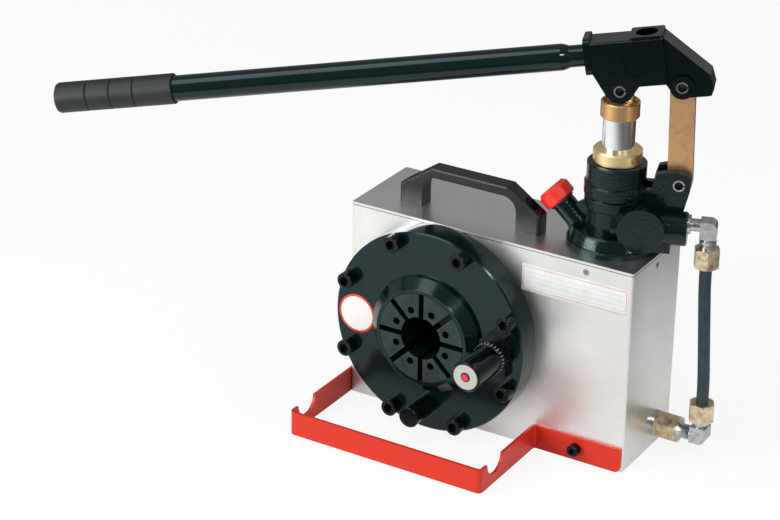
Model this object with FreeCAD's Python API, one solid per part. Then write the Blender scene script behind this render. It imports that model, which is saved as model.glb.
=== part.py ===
import FreeCAD, Part
import math
import os

V = FreeCAD.Vector
X_AXIS = V(1, 0, 0)
Y_AXIS = V(0, 1, 0)
Z_AXIS = V(0, 0, 1)

# Fits and small clearances, radial or per side
running_fit = 0.04
screw_fit = 0.5
seat_gap = 0.05
free_gap = 0.3

# Small edges, and how far cutters run past the faces they cut
edge_break = 1.0
past = 1.0
bore_wall = 1.0
fine_edge = 0.4
screw_edge = 0.8
soft_edge = 1.5

# Tank: a folded sheet box with a screwed lid; the origin is the centre of its underside
tank_length = 330.0
tank_height = 226.0
tank_wall = 3.0
tank_corner = 2.0
lid_thickness = 3.0
lid_tab_width = 18.0
lid_tab_height = 15.0
lid_tab_thickness = 2.0
lid_screw_drop = 11.0
lid_screw_radius = 2.0
lid_screw_head_radius = 3.5
lid_screw_head_height = 2.0
lid_screw_length = 8.0
lid_screw_inset = 52.4
lid_screw_slot = 1.2
lid_screw_drive = 2.5

# Crimping head: a cover ring bolted through the cylinder's flange to the tank's front wall
head_inset = 112.0
head_z = 113.0
cover_radius = 112.5
cover_thickness = 23.0
flange_thickness = 6.0
cover_edge = 1.5
hub_height = 14.0
hub_root_radius = 64.5
hub_rim_radius = 55.5
hub_round = 4.0
die_window_radius = 50.5
cover_wall = 4.0
head_screw_count = 8
head_screw_circle = 103.5
head_screw_radius = 6.0
head_screw_head_radius = 9.0
head_screw_head_height = 12.0
head_screw_socket_flats = 10.0
head_screw_socket_depth = 6.0
head_nut_flats = 18.0
head_nut_height = 10.0
head_screw_end = 3.0
nut_corner_slope = 0.6
nut_corner_gap = 0.01

# Cylinder and ring piston behind the cover
cylinder_bore = 88.0
cylinder_wall = 5.5
cylinder_end_wall = 12.0
piston_stroke = 28.0
piston_stop_gap = 2.0
piston_web = 25.0
rear_tube_radius = 38.0
rear_tube_wall = 5.0
rear_tube_front_gap = 6.0
rear_tube_collar = 8.0
rear_tube_collar_radius = 46.0
rear_tube_proud = 3.0
seal_width = 5.0
seal_depth = 4.0
port_block_size = 20.0
port_block_depth = 9.0
port_block_x = 60.0
port_block_drop = 53.0
port_block_gap = 1.7
piston_end_gap = 1.0

# Dies: eight sectors that close towards the axis as the piston's cone comes forward
die_count = 8
cone_angle = 15.0
die_bore_closed = 16.5
die_gap_closed = 0.13
die_body_radius = 76.0
die_body_length = 55.0
die_nose_radius = 50.0
die_pin_hole_radius = 4.0
die_pin_hole_depth = 14.0
die_pin_hole_at = 32.0
die_reach = 140.0

# Adjuster on the cover, to the right of the dies
adjuster_offset = 82.0
adjuster_plate_width = 31.0
adjuster_plate_height = 46.0
adjuster_plate_thickness = 8.0
adjuster_plate_corner = 8.0
adjuster_plate_round = 2.0
adjuster_ring_radius = 17.8
adjuster_ring_length = 11.0
adjuster_ring_edge = 1.5
adjuster_sleeve_radius = 13.0
adjuster_sleeve_length = 23.0
thimble_radius = 16.5
thimble_length = 42.0
thimble_floor = 6.0
thimble_guide = 14.0
dial_radius = 14.5
dial_thickness = 2.0
dial_button_radius = 4.5
dial_button_height = 1.0
spindle_radius = 5.0
spindle_travel = 9.3
spindle_inset = 8.0

# Capped return plunger below the dies
plunger_offset = 83.4
plunger_cap_radius = 11.5
plunger_cap_length = 37.0
plunger_cap_wall = 3.0
plunger_flat_width = 9.0
plunger_flat_back = 8.0
plunger_flat_depth = 1.5
plunger_head_radius = 7.0
plunger_head_height = 4.0
plunger_shank_radius = 4.0
plunger_guide_radius = 3.0
plunger_guide_length = 22.0

# Red bracket: front rail that also stores the lever in its two notches
bracket_height = 27.0
bracket_thickness = 3.0
bracket_front = -172.0
bracket_arm_offset = 117.0
bracket_bend = 4.0
bracket_left_reach = 50.0
notch_radius = 16.0
notch_y = -142.5
bracket_screw_inset = 53.0
bracket_end_round = 7.0
bracket_end_inset = 1.0
bracket_screw_z = 13.5
bracket_screw_radius = 4.0
bracket_screw_head_radius = 6.5
bracket_screw_head_height = 8.0
bracket_screw_end = 6.0
small_socket_flats = 6.0
small_socket_depth = 4.0

# Carry handle on the lid
grip_inset = 69.5
grip_length = 166.1
grip_front = -27.0
grip_back = -8.0
grip_shoulder = 21.0
grip_height = 46.5
grip_slope_left = 37.6
grip_slope_right = 38.0
grip_foot = 27.0
grip_bar = 11.0
grip_inner_round = 16.0
grip_edge = 3.0
grip_screw_inset = 13.3
grip_screw_radius = 4.0
grip_screw_head_radius = 6.5
grip_screw_head_height = 8.0
grip_screw_seat = 14.0
grip_screw_end = 1.5
grip_nut_flats = 13.0
grip_nut_height = 6.5

# Hand pump: turned column, cast valve block and filler neck; the linkage plane is turned from X.
# Heights of the pump and its linkage are measured from the lid's top.
pump_inset = 53.0
pump_y = 4.0
pump_turn = 20.0
pump_flange_radius = 48.0
pump_flange_height = 7.0
pump_step_radius = 45.0
pump_step_top_radius = 42.0
pump_step_height = 12.0
pump_step_round = 1.5
pump_column_radius = 28.5
pump_column_top = 90.0
pump_ring_radius = 32.4
pump_ring_round = 1.5
pump_low_ring_radius = 31.6
pump_collar_radius = 30.5
pump_ring_low = 42.0
pump_ring_mid = 55.0
pump_groove_depth = 2.0
pump_groove_at = 69.0
pump_groove_width = 2.4
pump_spigot_radius = 28.0
pump_spigot_length = 30.0
lock_ring_radius = 36.0
lock_ring_height = 12.0
lock_ring_notch_count = 4
lock_ring_notch = 8.0
lock_ring_notch_depth = 4.0
lock_ring_notch_height = 7.0
bore_floor = 11.0
plunger_bore_gap = 0.05
gland_radius = 25.0
gland_height = 14.0
gland_spigot_radius = 21.0
gland_spigot_length = 15.0
gland_hole_radius = 2.5
gland_hole_depth = 5.0
ram_radius = 16.5
ram_bottom = 36.0
ram_top = 138.0
ram_collar_radius = 19.8
ram_collar_height = 17.0
ram_dish = 4.0
ram_stem_step = 4.0
ram_collar_rim = 2.0
tongue_thickness = 15.0
tongue_width = 25.0
tongue_slot_width = 19.5
tongue_slot_height = 14.0
tongue_rim = 6.5
tongue_round = 8.0

# Linkage points in the pump's own plane: along the plane from the pump's axis, and height
pin_radius = 6.0
pin_bore = 4.1
pin_proud = 0.4
pin_slit = 1.4
lever_pin_z = 169.6
lever_tilt = 9.8
link_pin_u = 61.5
link_pin_v = -1.0
lug_pin_s = 64.0
lug_pin_z = 74.5
link_width = 25.0
link_thickness = 14.0
cheek_half = 15.8
slot_half = 8.0

# Lever head in the lever's own frame: u along the tube, v across it; outlines are (u, v) points
socket_back = -31.0
socket_front = -25.0
socket_low = 18.0
socket_high = 55.5
socket_half = 17.5
socket_round = 7.0
head_half = 16.8
wing_half = 13.6
head_round = 3.0
fork_outline = ((-25.0, 21.0), (-13.5, -4.7), (-9.0, -9.3), (0.0, -12.6), (9.0, -9.3), (13.0, -4.7),
                (19.8, 3.6), (48.0, 3.6), (48.0, 51.5), (-25.0, 51.5))
wing_outline = ((45.0, 3.6), (52.5, -9.5), (60.0, -12.7), (85.0, -13.0), (89.0, -12.5), (92.0, -6.0),
                (90.0, 8.5), (49.0, 50.5), (45.0, 50.5))
link_slot_outline = ((43.0, -20.0), (82.0, -20.0), (82.0, 6.0), (74.0, 15.5), (43.0, 15.5))
tongue_slot_end = 27.0
tongue_slot_low = -20.0
tongue_slot_roof = 3.0
body_top = 51.5
boss_start = 15.0
boss_end = 48.0
ram_boss_radius = 12.6
link_boss_radius = 12.2
boss_top = 54.2
boss_hole_u = 31.5
boss_hole_radius = 11.2
boss_hole_depth = 30.0
boss_root = 22.0
emblem_u = 21.8
emblem_v = 29.6
emblem_radius = 15.0
emblem_depth = 0.8
emblem_tool = 5.0
lever_axis_v = 35.0
lever_neck_radius = 11.0
lever_neck_start = -47.0
lever_neck_end = -10.0
lever_tube_radius = 13.45
lever_tube_wall = 2.6
lever_swage_step = 4.0
lever_swage_end = 8.0
lever_end = -586.0
lever_grip_start = -460.0
lever_grip_end = -589.0
lever_grip_radius = 16.0
lever_grip_grooves = (-502.0, -528.0, -554.0)
lever_grip_groove = 1.0
lever_grip_round = 3.0

# Valve block on the pump's right and its cap faces
barrel_offset = 20.0
barrel_z = 30.5
barrel_radius = 17.5
barrel_end = 76.0
barrel_edge = 1.5
valve_face_s = 30.5
valve_face_z = 31.0
valve_face_radius = 24.0
valve_face_offset = 40.0
lug_gap_floor = 59.0
skirt_floor = 5.0
skirt_back = 14.0
skirt_front = 8.0
skirt_start = 20.0
skirt_end = 60.0
lug_outline = ((26.0, 19.0), (26.0, 67.0), (36.5, 67.0), (38.3, 75.6), (41.0, 85.0), (48.0, 87.0),
               (62.6, 88.6), (67.5, 88.0), (73.5, 85.0), (75.8, 81.0), (75.4, 69.4), (70.7, 49.0),
               (66.0, 19.0))
link_slot_start = 30.0
link_slot_reach = 40.0
port_depth = 30.0

# Filler neck, rising to the left of the pump's column
neck_angle = 43.1
neck_turn = 14.5
neck_radius = 12.0
neck_start_s = -26.0
neck_start_z = 5.0
neck_length = 41.4
neck_web = 8.0
upper_web_outline = ((-20.0, 42.0), (-34.0, 40.0), (-44.0, 33.0), (-20.0, 8.0))
lower_web_outline = ((-30.0, 5.0), (-46.0, 5.0), (-55.0, 19.0), (-45.0, 24.0))
filler_bore_depth = 18.0
filler_cap_radius = 17.0
filler_cap_length = 17.0
filler_cap_flats = 8
filler_gasket = 2.0
filler_stem_radius = 7.0
filler_stem_length = 14.0
filler_gasket_lip = 1.5
filler_cap_foot = 2.0
filler_cap_crown = 4.0
filler_cap_crown_step = 3.0

# Pressure line from the valve block to the tank's side
port_rise = 5.5
washer_radius = 10.0
washer_thickness = 3.0
elbow_s = 97.0
elbow_leg_radius = 6.5
elbow_block = 17.0
elbow_block_depth = 12.0
elbow_round = 7.0
elbow_ring_at = 15.0
elbow_ring_width = 2.8
elbow_ring_radius = 8.8
elbow_ring_neck = 6.8
elbow_drop_radius = 7.8
elbow_drop = 36.0
line_nut_flats = 24.0
line_nut_height = 21.0
line_nut_lap = 8.5
hose_radius = 6.35
hose_straight = 30.0
bend_share = 0.45
lower_port_z = 25.0
lower_elbow_run = 23.0
lower_elbow_rise = 31.0
wall_ring_radius = 14.0
wall_ring_thickness = 4.0
wall_nut_flats = 27.0
wall_nut_length = 25.0
wall_nut_taper = 4.0
wall_stem_radius = 8.0
wall_stem_length = 18.0
inner_nut_flats = 22.0
inner_nut_length = 8.0
pipe_radius = 4.0
pipe_lap = 8.0
pipe_start_run = 60.0
pipe_end_run = 50.0

# Suction pipe and strainer inside the tank
suction_offset = -12.0
suction_radius = 6.0
strainer_radius = 13.0
strainer_low = 12.0
strainer_high = 46.0
suction_lap = 10.0
suction_bore_depth = 12.0
strainer_shoulder = 4.0
strainer_shoulder_drop = 3.0

# Places that follow from the sizes above; the tank is as deep as the head's cylinder needs
tank_depth = (cover_wall - cover_thickness - flange_thickness + die_body_length + piston_stroke
              + piston_end_gap + piston_web + free_gap + cylinder_end_wall + port_block_depth
              + port_block_gap + tank_wall)
tank_front = -tank_depth / 2
tank_back = tank_depth / 2
tank_right = tank_length / 2
head_x = head_inset - tank_right
flange_front = tank_front - flange_thickness
cover_front = flange_front - cover_thickness
die_face = cover_front - hub_height
cover_inner = cover_front + cover_wall
die_travel = piston_stroke * math.tan(math.radians(cone_angle))
piston_front = cover_inner + piston_stroke + piston_stop_gap
die_back = cover_inner + die_body_length
piston_web_front = die_back + piston_stroke + piston_end_gap
piston_back = piston_web_front + piston_web
cylinder_back = piston_back + free_gap + cylinder_end_wall
cylinder_length = cylinder_back - flange_front
rear_tube_front = die_back + rear_tube_front_gap
ring_front = cover_front - adjuster_plate_thickness - adjuster_ring_length
thimble_front = ring_front - free_gap - thimble_length
bracket_arm_x = head_x + bracket_arm_offset
bracket_screw_x = tank_right - bracket_screw_inset
pump_x = tank_right - pump_inset
grip_right = pump_x - grip_inset
grip_left = grip_right - grip_length
port_z = barrel_z + port_rise
lower_elbow_x = tank_right + wall_ring_thickness + wall_nut_length + lower_elbow_run
link_pin_s = (link_pin_u * math.cos(math.radians(lever_tilt))
              - link_pin_v * math.sin(math.radians(lever_tilt)))
link_pin_z = (lever_pin_z + link_pin_u * math.sin(math.radians(lever_tilt))
              + link_pin_v * math.cos(math.radians(lever_tilt)))
line_y = (pump_y + elbow_s * math.sin(math.radians(pump_turn))
          - barrel_offset * math.cos(math.radians(pump_turn)))
line_x = (pump_x + elbow_s * math.cos(math.radians(pump_turn))
          + barrel_offset * math.sin(math.radians(pump_turn)))


def box(x0, x1, y0, y1, z0, z1):
    return Part.makeBox(x1 - x0, y1 - y0, z1 - z0, V(x0, y0, z0))


def rod(radius, start, direction, length):
    return Part.makeCylinder(radius, length, start, direction)


def tube(outer, inner, start, direction, length):
    return rod(outer, start, direction, length).cut(rod(inner, start, direction, length))


def turned(profile, start, direction):
    """Turns a closed outline of (radius, distance) points about an axis."""
    points = [V(radius, 0, distance) for radius, distance in profile]
    face = Part.Face(Part.makePolygon(points + [points[0]]))
    solid = face.revolve(V(0, 0, 0), Z_AXIS, 360)
    solid.Placement = FreeCAD.Placement(start, FreeCAD.Rotation(Z_AXIS, direction))
    return solid


def hex_rod(flats, start, direction, length):
    corner = flats / math.sqrt(3)
    turns = [math.radians(60 * i) for i in range(7)]
    points = [V(corner * math.cos(turn), corner * math.sin(turn), 0) for turn in turns]
    solid = Part.Face(Part.makePolygon(points)).extrude(V(0, 0, length))
    solid.Placement = FreeCAD.Placement(start, FreeCAD.Rotation(Z_AXIS, direction))
    return solid


def hex_nut(flats, start, direction, length):
    """A hexagon with its corners turned down at both ends."""
    corner = flats / math.sqrt(3)
    slope = (corner - flats / 2) * nut_corner_slope
    wide = corner + nut_corner_gap
    barrel = turned([(0, 0), (flats / 2, 0), (wide, slope), (wide, length - slope), (flats / 2, length),
                     (0, length)], start, direction)
    return hex_rod(flats, start, direction, length).common(barrel)


def plate_xz(points, y0, y1):
    """Extrudes an outline in the XZ plane from y0 to y1."""
    corners = [V(x, y0, z) for x, z in points]
    return Part.Face(Part.makePolygon(corners + [corners[0]])).extrude(V(0, y1 - y0, 0))


def plate_xy(points, z0, z1):
    """Extrudes an outline in the XY plane from z0 to z1."""
    corners = [V(x, y, z0) for x, y in points]
    return Part.Face(Part.makePolygon(corners + [corners[0]])).extrude(V(0, 0, z1 - z0))


def join(pieces):
    whole = pieces[0]
    for piece in pieces[1:]:
        whole = whole.fuse(piece)
    return whole.removeSplitter()


def carve(shape, tools):
    for tool in tools:
        shape = shape.cut(tool)
    return shape


def socket_screw(seat, direction, radius, length, head_radius, head_height, flats, depth):
    """A socket-head cap screw; direction points from the head down the shank."""
    back = V(direction).multiply(-1)
    head = turned([(0, 0), (head_radius, 0), (head_radius, head_height - screw_edge),
                   (head_radius - screw_edge, head_height), (0, head_height)], seat, back)
    shank = rod(radius, seat, direction, length)
    socket_start = seat + V(back).multiply(head_height - depth)
    socket = hex_rod(flats, socket_start, back, depth + past)
    return head.fuse(shank).cut(socket)


def bent_pipe(points, radius):
    """Sweeps a round section along straight runs joined by tangent arcs, as large as the runs allow."""
    edges = []
    here = points[0]
    for before, corner, after in zip(points, points[1:], points[2:]):
        run_in = corner.sub(before)
        run_out = after.sub(corner)
        half_turn = run_in.getAngle(run_out) / 2
        back_off = bend_share * min(run_in.Length, run_out.Length)
        bend = back_off / math.tan(half_turn)
        start = corner.sub(V(run_in).normalize().multiply(back_off))
        end = corner.add(V(run_out).normalize().multiply(back_off))
        inward = V(run_out).normalize().sub(V(run_in).normalize()).normalize()
        middle = corner.add(V(inward).multiply(bend * (1 / math.cos(half_turn) - 1)))
        edges.append(Part.LineSegment(here, start).toShape())
        edges.append(Part.Arc(start, middle, end).toShape())
        print("bend radius", round(bend, 1))
        here = end
    edges.append(Part.LineSegment(here, points[-1]).toShape())
    path = Part.Wire(edges)
    section = Part.Wire(Part.makeCircle(radius, points[0], points[1].sub(points[0])))
    solid = path.makePipeShell([section], True, True)
    print("pipe volume", round(solid.Volume), "section times length",
          round(math.pi * radius ** 2 * path.Length))
    return solid


def head_point(radius, degrees, y):
    angle = math.radians(degrees)
    return V(head_x + radius * math.cos(angle), y, head_z + radius * math.sin(angle))


def head_screw_angle(index):
    return 360 * (index + 0.5) / head_screw_count


def on_pump(shape):
    """Places a shape drawn in the pump's frame: x along the linkage plane, z from the lid's top."""
    shape = shape.copy()
    shape.rotate(V(0, 0, 0), Z_AXIS, pump_turn)
    shape.translate(V(pump_x, pump_y, tank_height))
    return shape


def on_lever(shape):
    """Places a shape drawn in the lever's frame: x along the tube, z across it, origin at the ram's pin."""
    shape = shape.copy()
    shape.rotate(V(0, 0, 0), Y_AXIS, -lever_tilt)
    shape.translate(V(0, 0, lever_pin_z))
    return on_pump(shape)


def lid_screw_places():
    """Where the lid's screws go through the walls, with the way each one points."""
    z = tank_height - lid_screw_drop
    side = tank_right - lid_screw_inset
    return [(V(side, tank_front, z), Y_AXIS),
            (V(side, tank_back, z), -Y_AXIS), (V(-side, tank_back, z), -Y_AXIS),
            (V(tank_right, 0, z), -X_AXIS), (V(-tank_right, 0, z), X_AXIS)]


def lid_screw(place, direction):
    """A countersunk screw, flush with the wall."""
    screw = turned([(0, 0), (lid_screw_head_radius, 0), (lid_screw_radius, lid_screw_head_height),
                    (lid_screw_radius, lid_screw_length), (0, lid_screw_length)], place, direction)
    return screw.cut(hex_rod(lid_screw_drive, place, direction, lid_screw_slot))


def lid_screw_hole(place, direction):
    wide = lid_screw_head_radius + seat_gap
    narrow = lid_screw_radius + seat_gap
    return turned([(0, -past), (wide, -past), (wide, 0), (narrow, lid_screw_head_height),
                   (narrow, lid_screw_length + past), (0, lid_screw_length + past)], place, direction)


def handle_screw_x():
    return (grip_left + grip_screw_inset, grip_right - grip_screw_inset)


def make_tank_body():
    top = tank_height - lid_thickness
    outer = box(-tank_right, tank_right, tank_front, tank_back, 0, top)
    outer = outer.makeFillet(tank_corner, [e for e in outer.Edges if abs(e.tangentAt(0).z) > 0.99])
    inner = box(-tank_right + tank_wall, tank_right - tank_wall, tank_front + tank_wall,
                tank_back - tank_wall, tank_wall, top + past)
    holes = [rod(cylinder_bore + cylinder_wall + free_gap, V(head_x, tank_front - past, head_z), Y_AXIS,
                 tank_wall + 2 * past),
             rod(rear_tube_radius + free_gap, V(head_x, tank_back - tank_wall - past, head_z), Y_AXIS,
                 tank_wall + 2 * past),
             rod(wall_stem_radius + screw_fit, V(tank_right - tank_wall - past, line_y, lower_port_z),
                 X_AXIS,
                 tank_wall + 2 * past)]
    for i in range(head_screw_count):
        place = head_point(head_screw_circle, head_screw_angle(i), tank_front - past)
        holes.append(rod(head_screw_radius + screw_fit, place, Y_AXIS, tank_wall + 2 * past))
    holes += [lid_screw_hole(place, direction) for place, direction in lid_screw_places()]
    holes.append(rod(bracket_screw_radius + seat_gap, V(bracket_screw_x, tank_front - past,
                                                        bracket_screw_z),
                     Y_AXIS, tank_wall + 2 * past))
    holes.append(rod(bracket_screw_radius + seat_gap, V(-tank_right - past, 0, bracket_screw_z),
                     X_AXIS, tank_wall + 2 * past))
    return carve(outer.cut(inner), holes)


def make_tank_lid():
    bottom = tank_height - lid_thickness
    plate = box(-tank_right, tank_right, tank_front, tank_back, bottom, tank_height)
    plate = plate.makeFillet(tank_corner, [e for e in plate.Edges if abs(e.tangentAt(0).z) > 0.99])
    tabs = []
    for place, direction in lid_screw_places():
        reach = tank_wall + seat_gap
        inside = place + V(direction).multiply(reach + lid_tab_thickness / 2)
        half = V(abs(direction.x), abs(direction.y), 0).multiply(lid_tab_thickness / 2)
        half += V(abs(direction.y), abs(direction.x), 0).multiply(lid_tab_width / 2)
        tabs.append(box(inside.x - half.x, inside.x + half.x, inside.y - half.y, inside.y + half.y,
                        bottom - lid_tab_height, bottom + lid_thickness / 2))
    holes = [lid_screw_hole(place, direction) for place, direction in lid_screw_places()]
    holes.append(rod(pump_spigot_radius + free_gap, V(pump_x, pump_y, bottom - past), Z_AXIS,
                     lid_thickness + 2 * past))
    for x in handle_screw_x():
        middle = (grip_front + grip_back) / 2
        holes.append(rod(grip_screw_radius + seat_gap, V(x, middle, bottom - past), Z_AXIS,
                         lid_thickness + 2 * past))
    return carve(join([plate] + tabs), holes)


def make_lid_screws():
    return Part.makeCompound([lid_screw(place, direction) for place, direction in lid_screw_places()])


def make_front_cover():
    """The cover ring with its tapered hub; the profile runs from the axis outwards."""
    rim = cover_radius
    cavity = cylinder_bore + screw_fit
    depth = cover_thickness
    profile = [(die_window_radius, -hub_height), (hub_rim_radius - cover_edge, -hub_height),
               (hub_rim_radius, -hub_height + cover_edge), (hub_root_radius, -hub_round),
               (hub_root_radius + edge_break, 0), (rim - cover_edge, 0), (rim, cover_edge), (rim, depth),
               (cavity, depth), (cavity, cover_wall), (die_window_radius, cover_wall)]
    cover = turned(profile, V(head_x, cover_front, head_z), Y_AXIS)
    holes = []
    for i in range(head_screw_count):
        place = head_point(head_screw_circle, head_screw_angle(i), cover_front - past)
        holes.append(rod(head_screw_radius + screw_fit, place, Y_AXIS, depth + 2 * past))
    holes.append(rod(plunger_head_radius + free_gap, head_point(plunger_offset, -90, cover_front - past),
                     Y_AXIS,
                     depth + 2 * past))
    holes.append(rod(spindle_radius + running_fit, head_point(adjuster_offset, 0, cover_front - past),
                     Y_AXIS,
                     depth + 2 * past))
    return carve(cover, holes)


def make_head_cylinder():
    """Flange, barrel and end wall in one, with the oil port block behind."""
    outer = cylinder_bore + cylinder_wall
    inner_tube = rear_tube_radius + seat_gap
    wall_front = cylinder_length - cylinder_end_wall
    profile = [(cylinder_bore + running_fit, 0), (cover_radius, 0), (cover_radius, flange_thickness),
               (outer, flange_thickness), (outer, cylinder_length), (inner_tube, cylinder_length),
               (inner_tube, wall_front), (cylinder_bore + running_fit, wall_front)]
    body = turned(profile, V(head_x, flange_front, head_z), Y_AXIS)
    half = port_block_size / 2
    block_x = head_x + port_block_x
    block_z = head_z - port_block_drop
    block = box(block_x - half, block_x + half, cylinder_back - past, cylinder_back + port_block_depth,
                block_z - half, block_z + half)
    holes = [rod(pipe_radius + seat_gap, V(block_x, cylinder_back + port_block_depth / 2, block_z), X_AXIS,
                 half + past),
             rod(pipe_radius - bore_wall, V(block_x, cylinder_back - cylinder_end_wall - past, block_z),
                 Y_AXIS,
                 cylinder_end_wall + port_block_depth / 2 + past)]
    for i in range(head_screw_count):
        place = head_point(head_screw_circle, head_screw_angle(i), flange_front - past)
        holes.append(rod(head_screw_radius + screw_fit, place, Y_AXIS, flange_thickness + 2 * past))
    return carve(body.fuse(block), holes)


def make_rear_tube():
    """The hose passes out to the rear through this tube, which also guides the piston's bore."""
    inner = rear_tube_radius - rear_tube_wall
    front = rear_tube_front
    back = tank_back + rear_tube_proud
    profile = [(inner, front), (rear_tube_radius - edge_break, front), (rear_tube_radius,
                                                                        front + 2 * edge_break),
               (rear_tube_radius, cylinder_back), (rear_tube_collar_radius, cylinder_back),
               (rear_tube_collar_radius, cylinder_back + rear_tube_collar),
               (rear_tube_radius, cylinder_back + rear_tube_collar), (rear_tube_radius, back), (inner,
                                                                                                back)]
    return turned(profile, V(head_x, 0, head_z), Y_AXIS)


def piston_cone_radius(y):
    return die_body_radius - math.tan(math.radians(cone_angle)) * (y - cover_inner) + running_fit


def make_ring_piston():
    outer = cylinder_bore
    inner = rear_tube_radius + running_fit
    middle = (piston_web_front + piston_back) / 2
    profile = [(piston_cone_radius(piston_front), piston_front), (outer, piston_front),
               (outer, middle - seal_width / 2), (outer - seal_depth, middle - seal_width / 2),
               (outer - seal_depth, middle + seal_width / 2), (outer, middle + seal_width / 2),
               (outer, piston_back), (inner, piston_back), (inner, middle + seal_width / 2),
               (inner + seal_depth, middle + seal_width / 2), (inner + seal_depth,
                                                               middle - seal_width / 2),
               (inner, middle - seal_width / 2), (inner, piston_web_front),
               (piston_cone_radius(piston_web_front), piston_web_front)]
    return turned(profile, V(head_x, 0, head_z), Y_AXIS)


def make_piston_seals():
    middle = (piston_web_front + piston_back) / 2
    start = V(head_x, middle - seal_width / 2 + seat_gap, head_z)
    width = seal_width - 2 * seat_gap
    outer = tube(cylinder_bore, cylinder_bore - seal_depth + seat_gap, start, Y_AXIS, width)
    inner_radius = rear_tube_radius + running_fit
    inner = tube(inner_radius + seal_depth - seat_gap, inner_radius, start, Y_AXIS, width)
    return Part.makeCompound([outer, inner])


def make_die(index):
    """One die, drawn closed on the axis and then moved out to its open place."""
    angle = math.radians(180 / die_count)
    reach = die_reach
    slope = math.tan(math.radians(cone_angle))
    closed = die_body_radius - die_travel
    body = turned([(die_bore_closed, 0), (closed, 0), (closed - slope * die_body_length, die_body_length),
                   (die_bore_closed, die_body_length)], V(0, cover_inner + seat_gap, 0), Y_AXIS)
    corner = die_gap_closed / math.sin(angle)
    wedge = plate_xz([(corner, 0), (reach, math.tan(angle) * (reach - corner)),
                      (reach, -math.tan(angle) * (reach - corner))], die_face - past, die_back + past)
    body = body.common(wedge)
    body.translate(V(die_travel, 0, 0))
    wedge.translate(V(die_travel, 0, 0))
    nose = tube(die_nose_radius, edge_break, V(0, die_face, 0), Y_AXIS,
                cover_inner - die_face + past).common(wedge)
    bore = rod(die_bore_closed, V(die_travel, die_face - past, 0), Y_AXIS, die_body_length + reach)
    pin_hole = rod(die_pin_hole_radius, V(die_pin_hole_at, die_face - past, 0), Y_AXIS,
                   die_pin_hole_depth + past)
    die = carve(body.fuse(nose), [bore, pin_hole])
    die.rotate(V(0, 0, 0), Y_AXIS, -360 * (index + 0.5) / die_count)
    die.translate(V(head_x, 0, head_z))
    return die


def make_head_screws():
    length = tank_wall + flange_thickness + cover_thickness + head_nut_height + head_screw_end
    return Part.makeCompound([
        socket_screw(head_point(head_screw_circle, head_screw_angle(i), cover_front), Y_AXIS,
                     head_screw_radius,
                     length, head_screw_head_radius, head_screw_head_height, head_screw_socket_flats,
                     head_screw_socket_depth) for i in range(head_screw_count)])


def make_head_nuts():
    nuts = []
    for i in range(head_screw_count):
        nut = hex_nut(head_nut_flats, V(0, 0, 0), Y_AXIS, head_nut_height)
        nut = nut.cut(rod(head_screw_radius + running_fit, V(0, -past, 0), Y_AXIS,
                          head_nut_height + 2 * past))
        nut.rotate(V(0, 0, 0), Y_AXIS, 30 - head_screw_angle(i))
        nut.translate(head_point(head_screw_circle, head_screw_angle(i), tank_front + tank_wall))
        nuts.append(nut)
    return Part.makeCompound(nuts)


def adjuster_axis(y):
    return head_point(adjuster_offset, 0, y)


def make_adjuster_base():
    """The plate on the cover, its graduated ring and the sleeve that the thimble turns on."""
    middle = adjuster_axis(cover_front)
    side = adjuster_plate_width / 2
    half = adjuster_plate_height / 2
    outline = [(-side, -half), (side, -half), (side, half), (adjuster_plate_corner - side, half),
               (-side, half - adjuster_plate_corner)]
    plate = plate_xz([(middle.x + x, middle.z + z) for x, z in outline],
                     cover_front - adjuster_plate_thickness,
                     cover_front)
    plate = plate.makeFillet(adjuster_plate_round,
                             [e for e in plate.Edges if abs(e.tangentAt(0).y) > 0.99])
    outer = adjuster_ring_radius
    length = adjuster_ring_length
    ring = turned([(0, -past), (outer, -past), (outer, length - adjuster_ring_edge),
                   (outer - adjuster_ring_edge, length), (0, length)],
                  adjuster_axis(cover_front - adjuster_plate_thickness), -Y_AXIS)
    sleeve = rod(adjuster_sleeve_radius, adjuster_axis(ring_front + past), -Y_AXIS,
                 adjuster_sleeve_length + past)
    hole = rod(spindle_radius + running_fit, adjuster_axis(cover_front + past), -Y_AXIS,
               cover_front - thimble_front)
    return join([plate, ring, sleeve]).cut(hole)


def make_thimble():
    """A closed drum that fits over the sleeve, with a dial recess in its end."""
    inner = adjuster_sleeve_radius + running_fit
    guide = spindle_radius + running_fit
    profile = [(0, 0), (dial_radius + running_fit, 0), (dial_radius + running_fit, -dial_thickness),
               (thimble_radius - edge_break, -dial_thickness), (thimble_radius,
                                                                -dial_thickness + edge_break),
               (thimble_radius, thimble_length), (inner, thimble_length), (inner, thimble_guide),
               (guide, thimble_guide), (guide, thimble_floor), (0, thimble_floor)]
    return turned(profile, adjuster_axis(thimble_front), Y_AXIS)


def make_dial():
    profile = [(0, 0), (dial_radius, 0), (dial_radius, dial_thickness), (dial_button_radius,
                                                                         dial_thickness),
               (dial_button_radius, dial_thickness + dial_button_height - fine_edge),
               (dial_button_radius - fine_edge, dial_thickness + dial_button_height),
               (0, dial_thickness + dial_button_height)]
    return turned(profile, adjuster_axis(thimble_front), -Y_AXIS)


def make_stop_spindle():
    """The stop that the thimble drives back against the ring piston."""
    start = thimble_front + spindle_inset
    end = piston_front - piston_stroke - free_gap - spindle_travel
    return rod(spindle_radius, adjuster_axis(start), Y_AXIS, end - start)


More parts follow.
